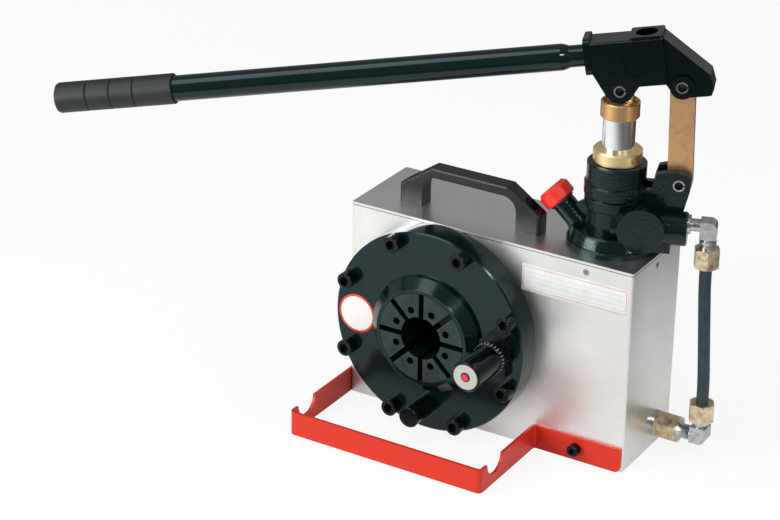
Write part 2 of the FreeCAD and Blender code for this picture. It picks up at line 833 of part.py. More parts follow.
def make_return_cap():
    """A blind cap with a spanner flat, screwed to the cover over the return plunger."""
    start = head_point(plunger_offset, -90, cover_front)
    outer = plunger_cap_radius
    length = plunger_cap_length
    cap = turned([(0, 0), (outer, 0), (outer, length - edge_break), (outer - edge_break, length),
                  (0, length)], start, -Y_AXIS)
    bore = rod(plunger_head_radius + free_gap, start + V(0, past, 0), -Y_AXIS,
               plunger_cap_length - plunger_cap_wall + past)
    flat_x = start.x + plunger_cap_radius
    flat_y = start.y - plunger_flat_back
    flat = box(flat_x - plunger_flat_depth, flat_x + past, flat_y - plunger_flat_width, flat_y,
               start.z - plunger_cap_radius, start.z + plunger_cap_radius)
    return carve(cap, [bore, flat])


def make_return_plunger():
    """Rides on the piston's front face; its head carries the return spring."""
    start = head_point(plunger_offset, -90, piston_front)
    head_at = piston_front - flange_front + edge_break
    total = head_at + plunger_head_height
    return turned([(0, 0), (plunger_shank_radius, 0), (plunger_shank_radius, head_at),
                   (plunger_head_radius, head_at), (plunger_head_radius, total),
                   (plunger_guide_radius, total), (plunger_guide_radius, total + plunger_guide_length),
                   (0, total + plunger_guide_length)], start, -Y_AXIS)


def bent_strip(points, bend, thickness):
    """Folds a strip of sheet along a route in plan, with round bends."""
    edges = []
    run_start = points[1].sub(points[0]).normalize()
    here = points[0]
    for before, corner, after in zip(points, points[1:], points[2:]):
        run_in = corner.sub(before).normalize()
        run_out = after.sub(corner).normalize()
        start = corner.sub(V(run_in).multiply(bend))
        end = corner.add(V(run_out).multiply(bend))
        middle = corner.add(V(run_out).sub(run_in).multiply(bend * (1 - 1 / math.sqrt(2))))
        edges.append(Part.LineSegment(here, start).toShape())
        edges.append(Part.Arc(start, middle, end).toShape())
        here = end
    edges.append(Part.LineSegment(here, points[-1]).toShape())
    half = V(run_start.y, -run_start.x, 0).multiply(thickness / 2)
    rise = V(0, 0, bracket_height)
    corners = [points[0] + half, points[0] - half, points[0] - half + rise, points[0] + half + rise]
    section = Part.makePolygon(corners + [corners[0]])
    return Part.Wire(edges).makePipeShell([section], True, True)


def make_support_bracket():
    """One strip folded round the front: left arm, front rail, right arm and the foot on the tank."""
    half = bracket_thickness / 2
    left = -tank_right - half
    front = bracket_front + half
    right = bracket_arm_x - half
    foot = tank_front - half
    points = [V(left, tank_front + bracket_left_reach, 0), V(left, front, 0), V(right, front, 0),
              V(right, foot, 0), V(tank_right - bracket_end_inset, foot, 0)]
    strip = bent_strip(points, bracket_bend, bracket_thickness)
    strip = strip.makeFillet(bracket_end_round, [e for e in strip.Edges if abs(e.tangentAt(0).y) > 0.99
                                                 and e.BoundBox.XMin > tank_right - 2 * bracket_end_inset
                                                 and e.BoundBox.ZMax < bracket_height / 2])
    cuts = []
    for x in (left, right):
        cuts.append(rod(notch_radius, V(x - bracket_thickness, notch_y, bracket_height), X_AXIS,
                        2 * bracket_thickness))
    cuts.append(rod(bracket_screw_radius + screw_fit, V(bracket_screw_x, foot - bracket_thickness,
                                                        bracket_screw_z), Y_AXIS, 2 * bracket_thickness))
    cuts.append(rod(bracket_screw_radius + screw_fit, V(left - bracket_thickness, 0, bracket_screw_z),
                    X_AXIS,
                    2 * bracket_thickness))
    return carve(strip, cuts)


def make_bracket_screws():
    front = V(bracket_screw_x, tank_front - bracket_thickness, bracket_screw_z)
    side = V(-tank_right - bracket_thickness, 0, bracket_screw_z)
    length = bracket_thickness + tank_wall + bracket_screw_end
    return Part.makeCompound([socket_screw(seat, direction, bracket_screw_radius, length,
                                           bracket_screw_head_radius, bracket_screw_head_height,
                                           small_socket_flats, small_socket_depth)
                              for seat, direction in ((front, Y_AXIS), (side, X_AXIS))])


def make_carry_handle():
    z0 = tank_height
    top = z0 + grip_height
    shoulder = z0 + grip_shoulder
    outline = [(grip_left, z0), (grip_left, shoulder), (grip_left + grip_slope_left, top),
               (grip_right - grip_slope_right, top), (grip_right, shoulder), (grip_right, z0)]
    body = plate_xz(outline, grip_front, grip_back)
    body = body.makeFillet(grip_edge, [e for e in body.Edges if e.BoundBox.ZMax > z0 + past])
    window = box(grip_left + grip_foot, grip_right - grip_foot, grip_front - past, grip_back + past,
                 z0 - past, top - grip_bar)
    window = window.makeFillet(grip_inner_round, [e for e in window.Edges if abs(e.tangentAt(0).y) > 0.99
                                                  and e.BoundBox.ZMin > z0])
    body = body.cut(window)
    middle = (grip_front + grip_back) / 2
    for x in handle_screw_x():
        body = body.cut(rod(grip_screw_radius + screw_fit, V(x, middle, z0 - past), Z_AXIS, grip_height))
        body = body.cut(rod(grip_screw_head_radius + screw_fit, V(x, middle, z0 + grip_screw_seat), Z_AXIS,
                            grip_height))
    return body


def make_handle_screws():
    middle = (grip_front + grip_back) / 2
    length = grip_screw_seat + lid_thickness + grip_nut_height + grip_screw_end
    return Part.makeCompound([socket_screw(V(x, middle, tank_height + grip_screw_seat), -Z_AXIS,
                                           grip_screw_radius, length, grip_screw_head_radius,
                                           grip_screw_head_height, small_socket_flats, small_socket_depth)
                              for x in handle_screw_x()])


def make_handle_nuts():
    middle = (grip_front + grip_back) / 2
    nuts = []
    for x in handle_screw_x():
        place = V(x, middle, tank_height - lid_thickness - grip_nut_height)
        nut = hex_nut(grip_nut_flats, place, Z_AXIS, grip_nut_height)
        nuts.append(nut.cut(rod(grip_screw_radius + running_fit, place, Z_AXIS, grip_nut_height)))
    return Part.makeCompound(nuts)


def pump_column():
    """The turned column: flange with a coned step, drum, two rings and a plain top collar."""
    ring = pump_ring_radius
    low = pump_low_ring_radius
    drum = pump_column_radius
    collar = pump_collar_radius
    groove = ring - pump_groove_depth
    round_off = pump_ring_round
    flange = pump_flange_height
    step_top = flange + pump_step_height
    groove_top = pump_groove_at + pump_groove_width
    profile = [(0, -pump_spigot_length), (pump_spigot_radius, -pump_spigot_length), (pump_spigot_radius,
                                                                                     0),
               (pump_flange_radius, 0), (pump_flange_radius, flange - pump_step_round),
               (pump_flange_radius - pump_step_round, flange), (pump_step_radius, flange),
               (pump_step_top_radius, step_top - pump_step_round),
               (pump_step_top_radius - pump_step_round, step_top), (drum, step_top), (drum, pump_ring_low),
               (low - round_off, pump_ring_low), (low, pump_ring_low + round_off),
               (low, pump_ring_mid - round_off), (low - round_off, pump_ring_mid),
               (ring - round_off, pump_ring_mid), (ring, pump_ring_mid + round_off),
               (ring, pump_groove_at - round_off), (ring - round_off, pump_groove_at),
               (groove, pump_groove_at), (groove, groove_top), (collar, groove_top),
               (collar, pump_column_top - round_off), (collar - round_off, pump_column_top),
               (0, pump_column_top)]
    return turned(profile, V(0, 0, 0), Z_AXIS)


def pump_valve_block():
    """The valve barrel along the linkage plane, its big front boss and the link's two lugs."""
    barrel = turned([(0, 0), (barrel_radius, 0), (barrel_radius, barrel_end - barrel_edge),
                     (barrel_radius - barrel_edge, barrel_end), (0, barrel_end)],
                    V(0, -barrel_offset, barrel_z), X_AXIS)
    front_boss = rod(valve_face_radius, V(valve_face_s, 0, valve_face_z), -Y_AXIS, valve_face_offset)
    lugs = plate_xz(lug_outline, -cheek_half, cheek_half)
    skirt = box(skirt_start, skirt_end, -barrel_offset - skirt_front, skirt_back, skirt_floor, barrel_z)
    return join([barrel, front_boss, lugs, skirt])


def neck_frame(shape):
    """Places a shape drawn along +Z onto the filler neck's axis in the pump's frame."""
    shape = shape.copy()
    shape.rotate(V(0, 0, 0), Y_AXIS, neck_angle - 90)
    shape.translate(V(neck_start_s, 0, neck_start_z))
    shape.rotate(V(0, 0, 0), Z_AXIS, -neck_turn)
    return shape


def make_pump_body():
    neck = neck_frame(rod(neck_radius, V(0, 0, 0), Z_AXIS, neck_length))
    neck = neck.common(rod(2 * pump_flange_radius, V(0, 0, 0), Z_AXIS, pump_column_top))
    webs = [plate_xz(outline, -neck_web / 2, neck_web / 2)
            for outline in (upper_web_outline, lower_web_outline)]
    for rib in webs:
        rib.rotate(V(0, 0, 0), Z_AXIS, -neck_turn)
    body = join([pump_column(), pump_valve_block(), neck] + webs)
    bore = rod(ram_radius + plunger_bore_gap, V(0, 0, -bore_floor), Z_AXIS,
               pump_column_top + 2 * bore_floor)
    gland_seat = rod(gland_spigot_radius + running_fit, V(0, 0, pump_column_top - gland_spigot_length),
                     Z_AXIS,
                     gland_spigot_length + past)
    link_slot = box(link_slot_start, lug_pin_s + link_slot_reach, -slot_half, slot_half, lug_gap_floor,
                    pump_column_top)
    lug_hole = rod(pin_radius + running_fit, V(lug_pin_s, -cheek_half - past, lug_pin_z), Y_AXIS,
                   2 * cheek_half + 2 * past)
    port = rod(elbow_leg_radius - bore_wall, V(barrel_end + past, -barrel_offset, port_z), -X_AXIS,
               port_depth)
    filler_bore = neck_frame(rod(filler_stem_radius + free_gap, V(0, 0, neck_length - filler_bore_depth),
                                 Z_AXIS,
                                 filler_bore_depth + 2 * past))
    suction = rod(suction_radius + seat_gap, V(suction_offset, 0, -pump_spigot_length - past), Z_AXIS,
                  suction_bore_depth + past)
    return on_pump(carve(body, [bore, gland_seat, link_slot, lug_hole, port, filler_bore, suction]))


def make_lock_ring():
    bottom = tank_height - lid_thickness - lock_ring_height
    ring = tube(lock_ring_radius, pump_spigot_radius + running_fit, V(pump_x, pump_y, bottom), Z_AXIS,
                lock_ring_height)
    half = lock_ring_notch / 2
    notch = box(-half, half, -lock_ring_radius - past, lock_ring_notch_depth - lock_ring_radius,
                bottom - past, bottom + lock_ring_notch_height)
    cuts = []
    for i in range(lock_ring_notch_count):
        cut = notch.copy()
        cut.rotate(V(0, 0, 0), Z_AXIS, 360 * i / lock_ring_notch_count)
        cut.translate(V(pump_x, pump_y, 0))
        cuts.append(cut)
    return carve(ring, cuts)


def make_gland_nut():
    """Screws into the column's top and guides the ram."""
    profile = [(ram_radius + running_fit, -gland_spigot_length), (gland_spigot_radius,
                                                                  -gland_spigot_length),
               (gland_spigot_radius, 0), (gland_radius - edge_break, 0), (gland_radius, 1),
               (gland_radius, gland_height - soft_edge), (gland_radius - soft_edge, gland_height),
               (ram_radius + running_fit, gland_height)]
    nut = turned(profile, V(0, 0, pump_column_top), Z_AXIS)
    middle = pump_column_top + gland_height / 2
    hole = rod(gland_hole_radius, V(0, 0, middle), V(1, -1, 0), gland_radius + past)
    inner = rod(gland_radius - gland_hole_depth, V(0, 0, pump_column_top - past), Z_AXIS,
                gland_height + 2 * past)
    return on_pump(nut.cut(hole.cut(inner)))


def make_pump_ram():
    """The chromed ram with the tongue that the lever's pin works in."""
    ram = rod(ram_radius, V(0, 0, ram_bottom), Z_AXIS, ram_top - ram_bottom)
    stem = rod(ram_radius - ram_stem_step, V(0, 0, ram_top - past), Z_AXIS,
               ram_collar_height + past - ram_dish)
    half = tongue_width / 2
    top = lever_pin_z + tongue_slot_height / 2 + tongue_rim
    tongue = box(-half, half, -tongue_thickness / 2, tongue_thickness / 2,
                 ram_top + ram_collar_height - ram_dish, top)
    tongue = tongue.makeFillet(tongue_round, [e for e in tongue.Edges if abs(e.tangentAt(0).y) > 0.99
                                     and e.BoundBox.ZMin > top - past])
    reach = (tongue_slot_width - tongue_slot_height) / 2
    radius = tongue_slot_height / 2
    slot = box(-reach, reach, -half, half, lever_pin_z - radius, lever_pin_z + radius)
    for side in (-reach, reach):
        slot = slot.fuse(rod(radius, V(side, -half, lever_pin_z), Y_AXIS, 2 * half))
    return on_pump(join([ram, stem, tongue]).cut(slot))


def make_ram_collar():
    """A dished gold collar round the ram's head."""
    inner = ram_radius - ram_stem_step + seat_gap
    height = ram_collar_height
    outer = ram_collar_radius
    profile = [(inner, 0), (outer - edge_break, 0), (outer, edge_break), (outer, height - edge_break),
               (outer - edge_break, height),
               (outer - ram_collar_rim, height), (outer - ram_collar_rim, height - ram_dish - seat_gap),
               (inner, height - ram_dish - seat_gap)]
    collar = turned(profile, V(0, 0, ram_top), Z_AXIS)
    return on_pump(collar)


def make_lever_head():
    """Cast fork: two cheeks over the ram's tongue and the link, socket for the lever tube behind."""
    body = plate_xz(fork_outline, -head_half, head_half)
    body = body.makeFillet(head_round, [e for e in body.Edges if e.BoundBox.ZMin > body_top - past
                                        and abs(e.tangentAt(0).x) > 0.99])
    wing = plate_xz(wing_outline, -wing_half, wing_half)
    ram_boss = rod(ram_boss_radius, V(0, -head_half, 0), Y_AXIS, 2 * head_half)
    link_boss = rod(link_boss_radius, V(link_pin_u, -head_half, link_pin_v), Y_AXIS, 2 * head_half)
    socket = box(socket_back, socket_front, -socket_half, socket_half, socket_low, socket_high)
    socket = socket.makeFillet(socket_round, [e for e in socket.Edges if abs(e.tangentAt(0).x) > 0.99])
    top_boss = box(boss_start, boss_end, -head_half + past, head_half - past, body_top - boss_root,
                   boss_top)
    top_boss = top_boss.makeFillet(head_round, [e for e in top_boss.Edges if abs(e.tangentAt(0).z) > 0.99])
    body = join([body, wing, ram_boss, link_boss, socket, top_boss])
    tongue_slot = box(socket_front, tongue_slot_end, -slot_half, slot_half, tongue_slot_low,
                      lever_axis_v - lever_neck_radius - tongue_slot_roof)
    link_slot = plate_xz(link_slot_outline, -slot_half, slot_half)
    holes = [tongue_slot, link_slot,
             rod(pin_radius + running_fit, V(0, -head_half - past, 0), Y_AXIS, 2 * head_half + 2 * past),
             rod(pin_radius + running_fit, V(link_pin_u, -head_half - past, link_pin_v), Y_AXIS,
                 2 * head_half + 2 * past),
             rod(boss_hole_radius, V(boss_hole_u, 0, boss_top - boss_hole_depth), Z_AXIS,
                 boss_hole_depth + past),
             rod(lever_neck_radius + seat_gap, V(socket_back - past, 0, lever_axis_v), X_AXIS,
                 lever_neck_end - socket_back + past)]
    for side in (-1, 1):
        start = V(emblem_u, side * (head_half - emblem_depth), emblem_v)
        holes.append(rod(emblem_radius, start, Y_AXIS * side, emblem_tool))
    return on_lever(carve(body, holes))


def roll_pin(s, z, half_width):
    """A rolled spring pin through two cheeks: a tube with a slit along it."""
    reach = half_width + pin_proud
    pin = tube(pin_radius, pin_bore, V(s, -reach, z), Y_AXIS, 2 * reach)
    slit = box(s, s + pin_radius + past, -reach - past, reach + past, z - pin_slit / 2, z + pin_slit / 2)
    return pin.cut(slit)


def make_ram_pin():
    return on_lever(roll_pin(0, 0, head_half))


def make_lever_link_pin():
    return on_lever(roll_pin(link_pin_u, link_pin_v, head_half))


def make_lug_pin():
    return on_pump(roll_pin(lug_pin_s, lug_pin_z, cheek_half))


def make_link_bar():
    """The flat bar between the valve block's lugs and the lever head."""
    low = V(lug_pin_s, 0, lug_pin_z)
    high = V(link_pin_s, 0, link_pin_z)
    along = high.sub(low)
    length = along.Length
    half = link_width / 2
    depth = link_thickness / 2
    bar = box(-half, half, -depth, depth, 0, length)
    for z in (0, length):
        bar = bar.fuse(rod(half, V(0, -depth, z), Y_AXIS, link_thickness))
    for z in (0, length):
        bar = bar.cut(rod(pin_radius + running_fit, V(0, -depth - past, z), Y_AXIS,
                          link_thickness + 2 * past))
    bar.rotate(V(0, 0, 0), Y_AXIS, math.degrees(math.atan2(along.x, along.z)))
    bar.translate(low)
    return on_pump(bar.removeSplitter())


def make_lever_tube():
    """Steel tube, swaged to a narrow neck where it enters the head."""
    inner = lever_tube_radius - lever_tube_wall
    start = V(lever_neck_end, 0, lever_axis_v)
    neck_run = lever_neck_end - lever_neck_start
    total = lever_neck_end - lever_end
    profile = [(0, 0), (lever_neck_radius, 0), (lever_neck_radius, neck_run),
               (lever_tube_radius - edge_break, neck_run + lever_swage_step), (lever_tube_radius,
                                                                               neck_run + lever_swage_end),
               (lever_tube_radius, total), (inner, total), (inner, neck_run + lever_swage_end), (0,
                                                                                                 neck_run)]
    return on_lever(turned(profile, start, -X_AXIS))


def make_lever_grip():
    """A closed rubber sleeve with ring grooves."""
    inner = lever_tube_radius + running_fit
    outer = lever_grip_radius
    length = lever_grip_start - lever_grip_end
    floor = lever_grip_start - lever_end + seat_gap
    profile = [(inner, 0), (outer - screw_edge, 0), (outer, screw_edge)]
    for place in lever_grip_grooves:
        at = lever_grip_start - place
        profile += [(outer, at - lever_grip_groove), (outer - lever_grip_groove, at),
                    (outer, at + lever_grip_groove)]
    profile += [(outer, length - lever_grip_round), (outer - edge_break, length - edge_break),
                (outer - lever_grip_round, length), (0, length), (0, floor), (inner, floor)]
    return on_lever(turned(profile, V(lever_grip_start, 0, lever_axis_v), -X_AXIS))


def make_filler_cap():
    """A faceted screw cap on its gasket; a stem reaches down into the neck."""
    start = neck_length + filler_gasket
    corner = filler_cap_radius / math.cos(math.radians(180 / filler_cap_flats))
    points = [V(corner * math.cos(math.radians(360 * (i + 0.5) / filler_cap_flats)),
                corner * math.sin(math.radians(360 * (i + 0.5) / filler_cap_flats)), start)
              for i in range(filler_cap_flats + 1)]
    cap = Part.Face(Part.makePolygon(points)).extrude(V(0, 0, filler_cap_length))
    round_off = turned([(0, 0), (filler_cap_radius - edge_break, 0), (filler_cap_radius + fine_edge,
                                                                      filler_cap_foot),
                        (filler_cap_radius + fine_edge, filler_cap_length - filler_cap_crown),
                        (filler_cap_radius - filler_cap_crown_step, filler_cap_length), (0,
                                                                                         filler_cap_length)],
                       V(0, 0, start), Z_AXIS)
    stem = rod(filler_stem_radius, V(0, 0, start - filler_gasket - filler_stem_length), Z_AXIS,
               filler_stem_length + filler_gasket + past)
    return on_pump(neck_frame(cap.common(round_off).fuse(stem).removeSplitter()))


def make_filler_gasket():
    return on_pump(neck_frame(tube(neck_radius + filler_gasket_lip, filler_stem_radius + seat_gap,
                                   V(0, 0, neck_length), Z_AXIS, filler_gasket)))


def make_port_washer():
    return on_pump(tube(washer_radius, elbow_leg_radius + seat_gap, V(barrel_end, -barrel_offset, port_z),
                        X_AXIS, washer_thickness))


def elbow_drop_profile(length):
    """The elbow's outlet: a ringed neck below the block, then the end that sits in the nut."""
    neck = elbow_ring_neck
    ring = elbow_ring_at + elbow_ring_width
    end = ring + elbow_ring_width
    return [(0, 0), (neck, 0), (neck, elbow_ring_at), (elbow_ring_radius, elbow_ring_at),
            (elbow_ring_radius, ring), (neck, ring), (neck, end), (elbow_drop_radius, end),
            (elbow_drop_radius, length), (0, length)]


def make_upper_elbow():
    """Forged elbow from the valve block's port, turned down to the hose."""
    half = elbow_block / 2
    leg = rod(elbow_leg_radius, V(barrel_end, -barrel_offset, port_z), X_AXIS, elbow_s - barrel_end)
    block = box(elbow_s - half, elbow_s + half, -barrel_offset - half, -barrel_offset + half,
                port_z - elbow_block_depth, port_z + elbow_leg_radius)
    block = block.makeFillet(elbow_round, [e for e in block.Edges if e.BoundBox.XMin > elbow_s
                                           and e.BoundBox.ZMin > port_z])
    drop = turned(elbow_drop_profile(elbow_drop), V(elbow_s, -barrel_offset, port_z), -Z_AXIS)
    return on_pump(join([leg, block, drop]))


def line_nut(start, direction):
    """A union nut: the wide bore takes the fitting, the narrow one the hose."""
    nut = hex_nut(line_nut_flats, start, direction, line_nut_height)
    wide = rod(elbow_drop_radius + seat_gap, start + V(direction).multiply(line_nut_lap), direction,
               line_nut_height)
    narrow = rod(hose_radius + seat_gap, start - V(direction), direction, line_nut_height)
    return carve(nut, [wide, narrow])


def hose_top():
    return V(line_x, line_y, tank_height + port_z - elbow_drop)


def hose_bottom():
    return V(lower_elbow_x, line_y, lower_port_z + lower_elbow_rise)


def make_upper_nut():
    return line_nut(hose_top() - V(0, 0, line_nut_lap), Z_AXIS)


def make_lower_nut():
    return line_nut(hose_bottom() + V(0, 0, line_nut_lap), -Z_AXIS)


def make_pressure_hose():
    """Held at both ends, it leans gently from the lower fitting to the upper one."""
    run = V(0, 0, hose_straight)
    return bent_pipe([hose_bottom(), hose_bottom() + run, hose_top() - run, hose_top()], hose_radius)


def make_lower_elbow():
    """Elbow screwed on the bulkhead stem, with its swivel nut's taper, turned up to the hose."""
    half = elbow_block / 2
    start = tank_right + wall_ring_thickness + wall_nut_length
    corner = V(lower_elbow_x, line_y, lower_port_z)
    taper = turned([(0, 0), (wall_nut_flats / 2 - 2 * edge_break, 0), (elbow_leg_radius + edge_break / 2,
                                                                       wall_nut_taper),
                    (elbow_leg_radius + edge_break / 2, lower_elbow_x - start), (0,
                                                                                 lower_elbow_x - start)],
                   V(start, line_y, lower_port_z), X_AXIS)
    block = box(corner.x - half, corner.x + half, corner.y - half, corner.y + half,
                corner.z - elbow_leg_radius, corner.z + elbow_block_depth)
    block = block.makeFillet(elbow_round, [e for e in block.Edges if e.BoundBox.XMin > corner.x
                                           and e.BoundBox.ZMax < corner.z])
    rise = turned(elbow_drop_profile(lower_elbow_rise), corner, Z_AXIS)
    return join([taper, block, rise])


def make_wall_ring():
    return tube(wall_ring_radius, wall_stem_radius + seat_gap, V(tank_right, line_y, lower_port_z), X_AXIS,
                wall_ring_thickness)


def make_wall_nut():
    start = V(tank_right + wall_ring_thickness, line_y, lower_port_z)
    nut = hex_nut(wall_nut_flats, start, X_AXIS, wall_nut_length)
    return nut.cut(rod(wall_stem_radius + seat_gap, start, X_AXIS, wall_nut_length))


def make_bulkhead_stem():
    """Threaded stem through the tank wall, from the inner pipe to the outer nut."""
    start = tank_right - tank_wall - wall_stem_length
    end = tank_right + wall_ring_thickness + wall_nut_length
    stem = rod(wall_stem_radius, V(start, line_y, lower_port_z), X_AXIS, end - start)
    bore = rod(pipe_radius + seat_gap, V(start - past, line_y, lower_port_z), X_AXIS, end - start)
    return stem.cut(bore)


def make_inner_nut():
    start = V(tank_right - tank_wall - inner_nut_length, line_y, lower_port_z)
    nut = hex_nut(inner_nut_flats, start, X_AXIS, inner_nut_length)
    return nut.cut(rod(wall_stem_radius + seat_gap, start - X_AXIS, X_AXIS, inner_nut_length + 2 * past))


def make_pressure_pipe():
    """Carries the oil inside the tank from the bulkhead to the cylinder's port block."""
    block_x = head_x + port_block_x
    end = V(block_x, cylinder_back + port_block_depth / 2, head_z - port_block_drop)
    start = V(tank_right - tank_wall - wall_stem_length + pipe_lap, line_y, lower_port_z)
    points = [start, start - V(pipe_start_run, 0, 0), end + V(pipe_end_run, 0, 0), end]
    return bent_pipe(points, pipe_radius)


def make_suction_pipe():
    bottom = strainer_high - tank_height
    top = suction_lap - pump_spigot_length
    return on_pump(rod(suction_radius, V(suction_offset, 0, bottom), Z_AXIS, top - bottom))


def make_strainer():
    height = strainer_high - strainer_low
    profile = [(0, 0), (strainer_radius - edge_break, 0), (strainer_radius, edge_break),
               (strainer_radius, height - strainer_shoulder_drop),
               (strainer_radius - strainer_shoulder, height),
               (0, height)]
    return on_pump(turned(profile, V(suction_offset, 0, strainer_low - tank_height), Z_AXIS))


def main():
    nodes = {
        "tank_body": make_tank_body(),
        "tank_lid": make_tank_lid(),
        "lid_screws": make_lid_screws(),
        "front_cover": make_front_cover(),
        "head_cylinder": make_head_cylinder(),
        "rear_tube": make_rear_tube(),
        "ring_piston": make_ring_piston(),
        "piston_seals": make_piston_seals(),
        "head_screws": make_head_screws(),
        "head_nuts": make_head_nuts(),
        "adjuster_base": make_adjuster_base(),
        "adjuster_thimble": make_thimble(),
        "adjuster_dial": make_dial(),
        "stop_spindle": make_stop_spindle(),
        "return_cap": make_return_cap(),
        "return_plunger": make_return_plunger(),
        "support_bracket": make_support_bracket(),
        "bracket_screws": make_bracket_screws(),
        "carry_handle": make_carry_handle(),
        "handle_screws": make_handle_screws(),
        "handle_nuts": make_handle_nuts(),
        "pump_body": make_pump_body(),
        "pump_lock_ring": make_lock_ring(),
        "gland_nut": make_gland_nut(),
        "pump_ram": make_pump_ram(),
        "ram_collar": make_ram_collar(),
        "lever_head": make_lever_head(),
        "ram_pin": make_ram_pin(),
        "lever_link_pin": make_lever_link_pin(),
        "lug_pin": make_lug_pin(),
        "link_bar": make_link_bar(),
        "lever_tube": make_lever_tube(),
        "lever_grip": make_lever_grip(),
        "filler_cap": make_filler_cap(),
        "filler_gasket": make_filler_gasket(),
        "port_washer": make_port_washer(),
        "upper_elbow": make_upper_elbow(),
        "upper_hose_nut": make_upper_nut(),
        "pressure_hose": make_pressure_hose(),
        "lower_hose_nut": make_lower_nut(),
        "lower_elbow": make_lower_elbow(),
        "wall_ring": make_wall_ring(),
        "wall_nut": make_wall_nut(),
        "bulkhead_stem": make_bulkhead_stem(),
        "bulkhead_inner_nut": make_inner_nut(),
        "pressure_pipe": make_pressure_pipe(),
        "suction_pipe": make_suction_pipe(),
        "suction_strainer": make_strainer(),
    }
    for i in range(die_count):
        nodes["die_%d" % (i + 1)] = make_die(i)
    os.makedirs("parts", exist_ok=True)
    for name, shape in nodes.items():
        if not shape.isValid():
            print("not valid:", name)
        print(name, len(shape.Solids), round(shape.Volume))
        shape.exportStep("parts/" + name + ".step")


main()
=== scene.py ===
import bmesh
import bpy
import math
from mathutils import Matrix, Vector


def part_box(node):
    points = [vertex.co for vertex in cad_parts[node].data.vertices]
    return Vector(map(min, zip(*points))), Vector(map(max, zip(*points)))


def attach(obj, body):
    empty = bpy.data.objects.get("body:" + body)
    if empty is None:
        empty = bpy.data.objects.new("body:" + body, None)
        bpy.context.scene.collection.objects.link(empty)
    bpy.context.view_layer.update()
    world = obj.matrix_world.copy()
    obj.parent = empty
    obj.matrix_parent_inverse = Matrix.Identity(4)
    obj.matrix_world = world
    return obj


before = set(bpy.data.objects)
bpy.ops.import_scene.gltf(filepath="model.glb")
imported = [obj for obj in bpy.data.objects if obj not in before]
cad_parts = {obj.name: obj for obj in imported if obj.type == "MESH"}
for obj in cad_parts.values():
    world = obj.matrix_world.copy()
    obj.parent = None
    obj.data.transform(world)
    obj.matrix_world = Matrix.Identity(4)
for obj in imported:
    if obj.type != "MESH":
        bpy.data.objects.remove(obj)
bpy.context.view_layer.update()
print("frame loaded")

mm = 0.001
tolerance = 0.001 * mm
scene = bpy.context.scene


# colour and node helpers
def colour(hexText):
    channels = [int(hexText[i:i + 2], 16) / 255 for i in (1, 3, 5)]
    linear = [c / 12.92 if c <= 0.04045 else ((c + 0.055) / 1.055) ** 2.4 for c in channels]
    return (*linear, 1.0)


def addNode(tree, kind, inputs, output=0, to=None, stops=(), **settings):
    # one node with its settings, colour stops and links; gives the output that is asked for
    node = tree.nodes.new("ShaderNode" + kind)
    for name, value in settings.items():
        setattr(node, name, value)
    if stops:
        elements = node.color_ramp.elements
        while len(elements) < len(stops):
            elements.new(0.5)
        for element, (place, hexText) in zip(elements, stops):
            element.position = place
            element.color = colour(hexText)
    for socket, value in inputs.items():
        if isinstance(value, bpy.types.NodeSocket):
            tree.links.new(value, node.inputs[socket])
        else:
            node.inputs[socket].default_value = value
    if to:
        tree.links.new(node.outputs[output], to)
    return node.outputs[output]


def newMaterial(name, base, roughness, metallic=0.0, **extra):
    material = bpy.data.materials.new(name)
    material.use_nodes = True
    shader = material.node_tree.nodes["Principled BSDF"]
    shader.inputs["Base Color"].default_value = colour(base)
    shader.inputs["Roughness"].default_value = roughness
    shader.inputs["Metallic"].default_value = metallic
    for socket, value in extra.items():
        shader.inputs[socket.replace("_", " ")].default_value = value
    return material, material.node_tree, shader.inputs


def objectPlace(tree, scale=(1.0, 1.0, 1.0), shift=(0.0, 0.0, 0.0)):
    here = addNode(tree, "TexCoord", {}, "Object")
    return addNode(tree, "Mapping", {"Vector": here, "Scale": scale, "Location": shift})


def reachFrom(tree, place, kept):
    # distance from the axis that the kept directions leave out
    flat = addNode(tree, "VectorMath", {0: place, 1: kept}, operation="MULTIPLY")
    return addNode(tree, "VectorMath", {0: flat}, "Value", operation="LENGTH")


def overlay(tree, sockets, mask, hexText):
    # puts a second colour over the base colour where the mask is one
    plain = sockets["Base Color"].links[0].from_socket
    addNode(tree, "Mix", {0: mask, 6: plain, 7: colour(hexText)}, 2, sockets["Base Color"], data_type="RGBA")


# materials
fineDetail = 2.0  # octaves of noise in a fine grain
patchDetail = 3.0  # and in soft patches
crossways = (1.0, 0.0, 1.0)  # keeps X and Z: the distance from an axis that runs front to back

stainless = {"grey": "#D8D8D6", "stops": [(0.3, "#D8D8D6"), (0.7, "#EAEAE7")], "low": 0.27, "high": 0.43,
             "lineSpacing": 0.5 * mm, "lineStretch": 90, "lineShare": 0.35, "lineDepth": 0.02 * mm,
             "lineStrength": 0.35, "cloud": 70 * mm, "cloudDetail": 4.0, "cloudRagged": 0.6,
             "seamAt": 223 * mm, "seamHalf": 0.35 * mm, "seam": "#34383A"}


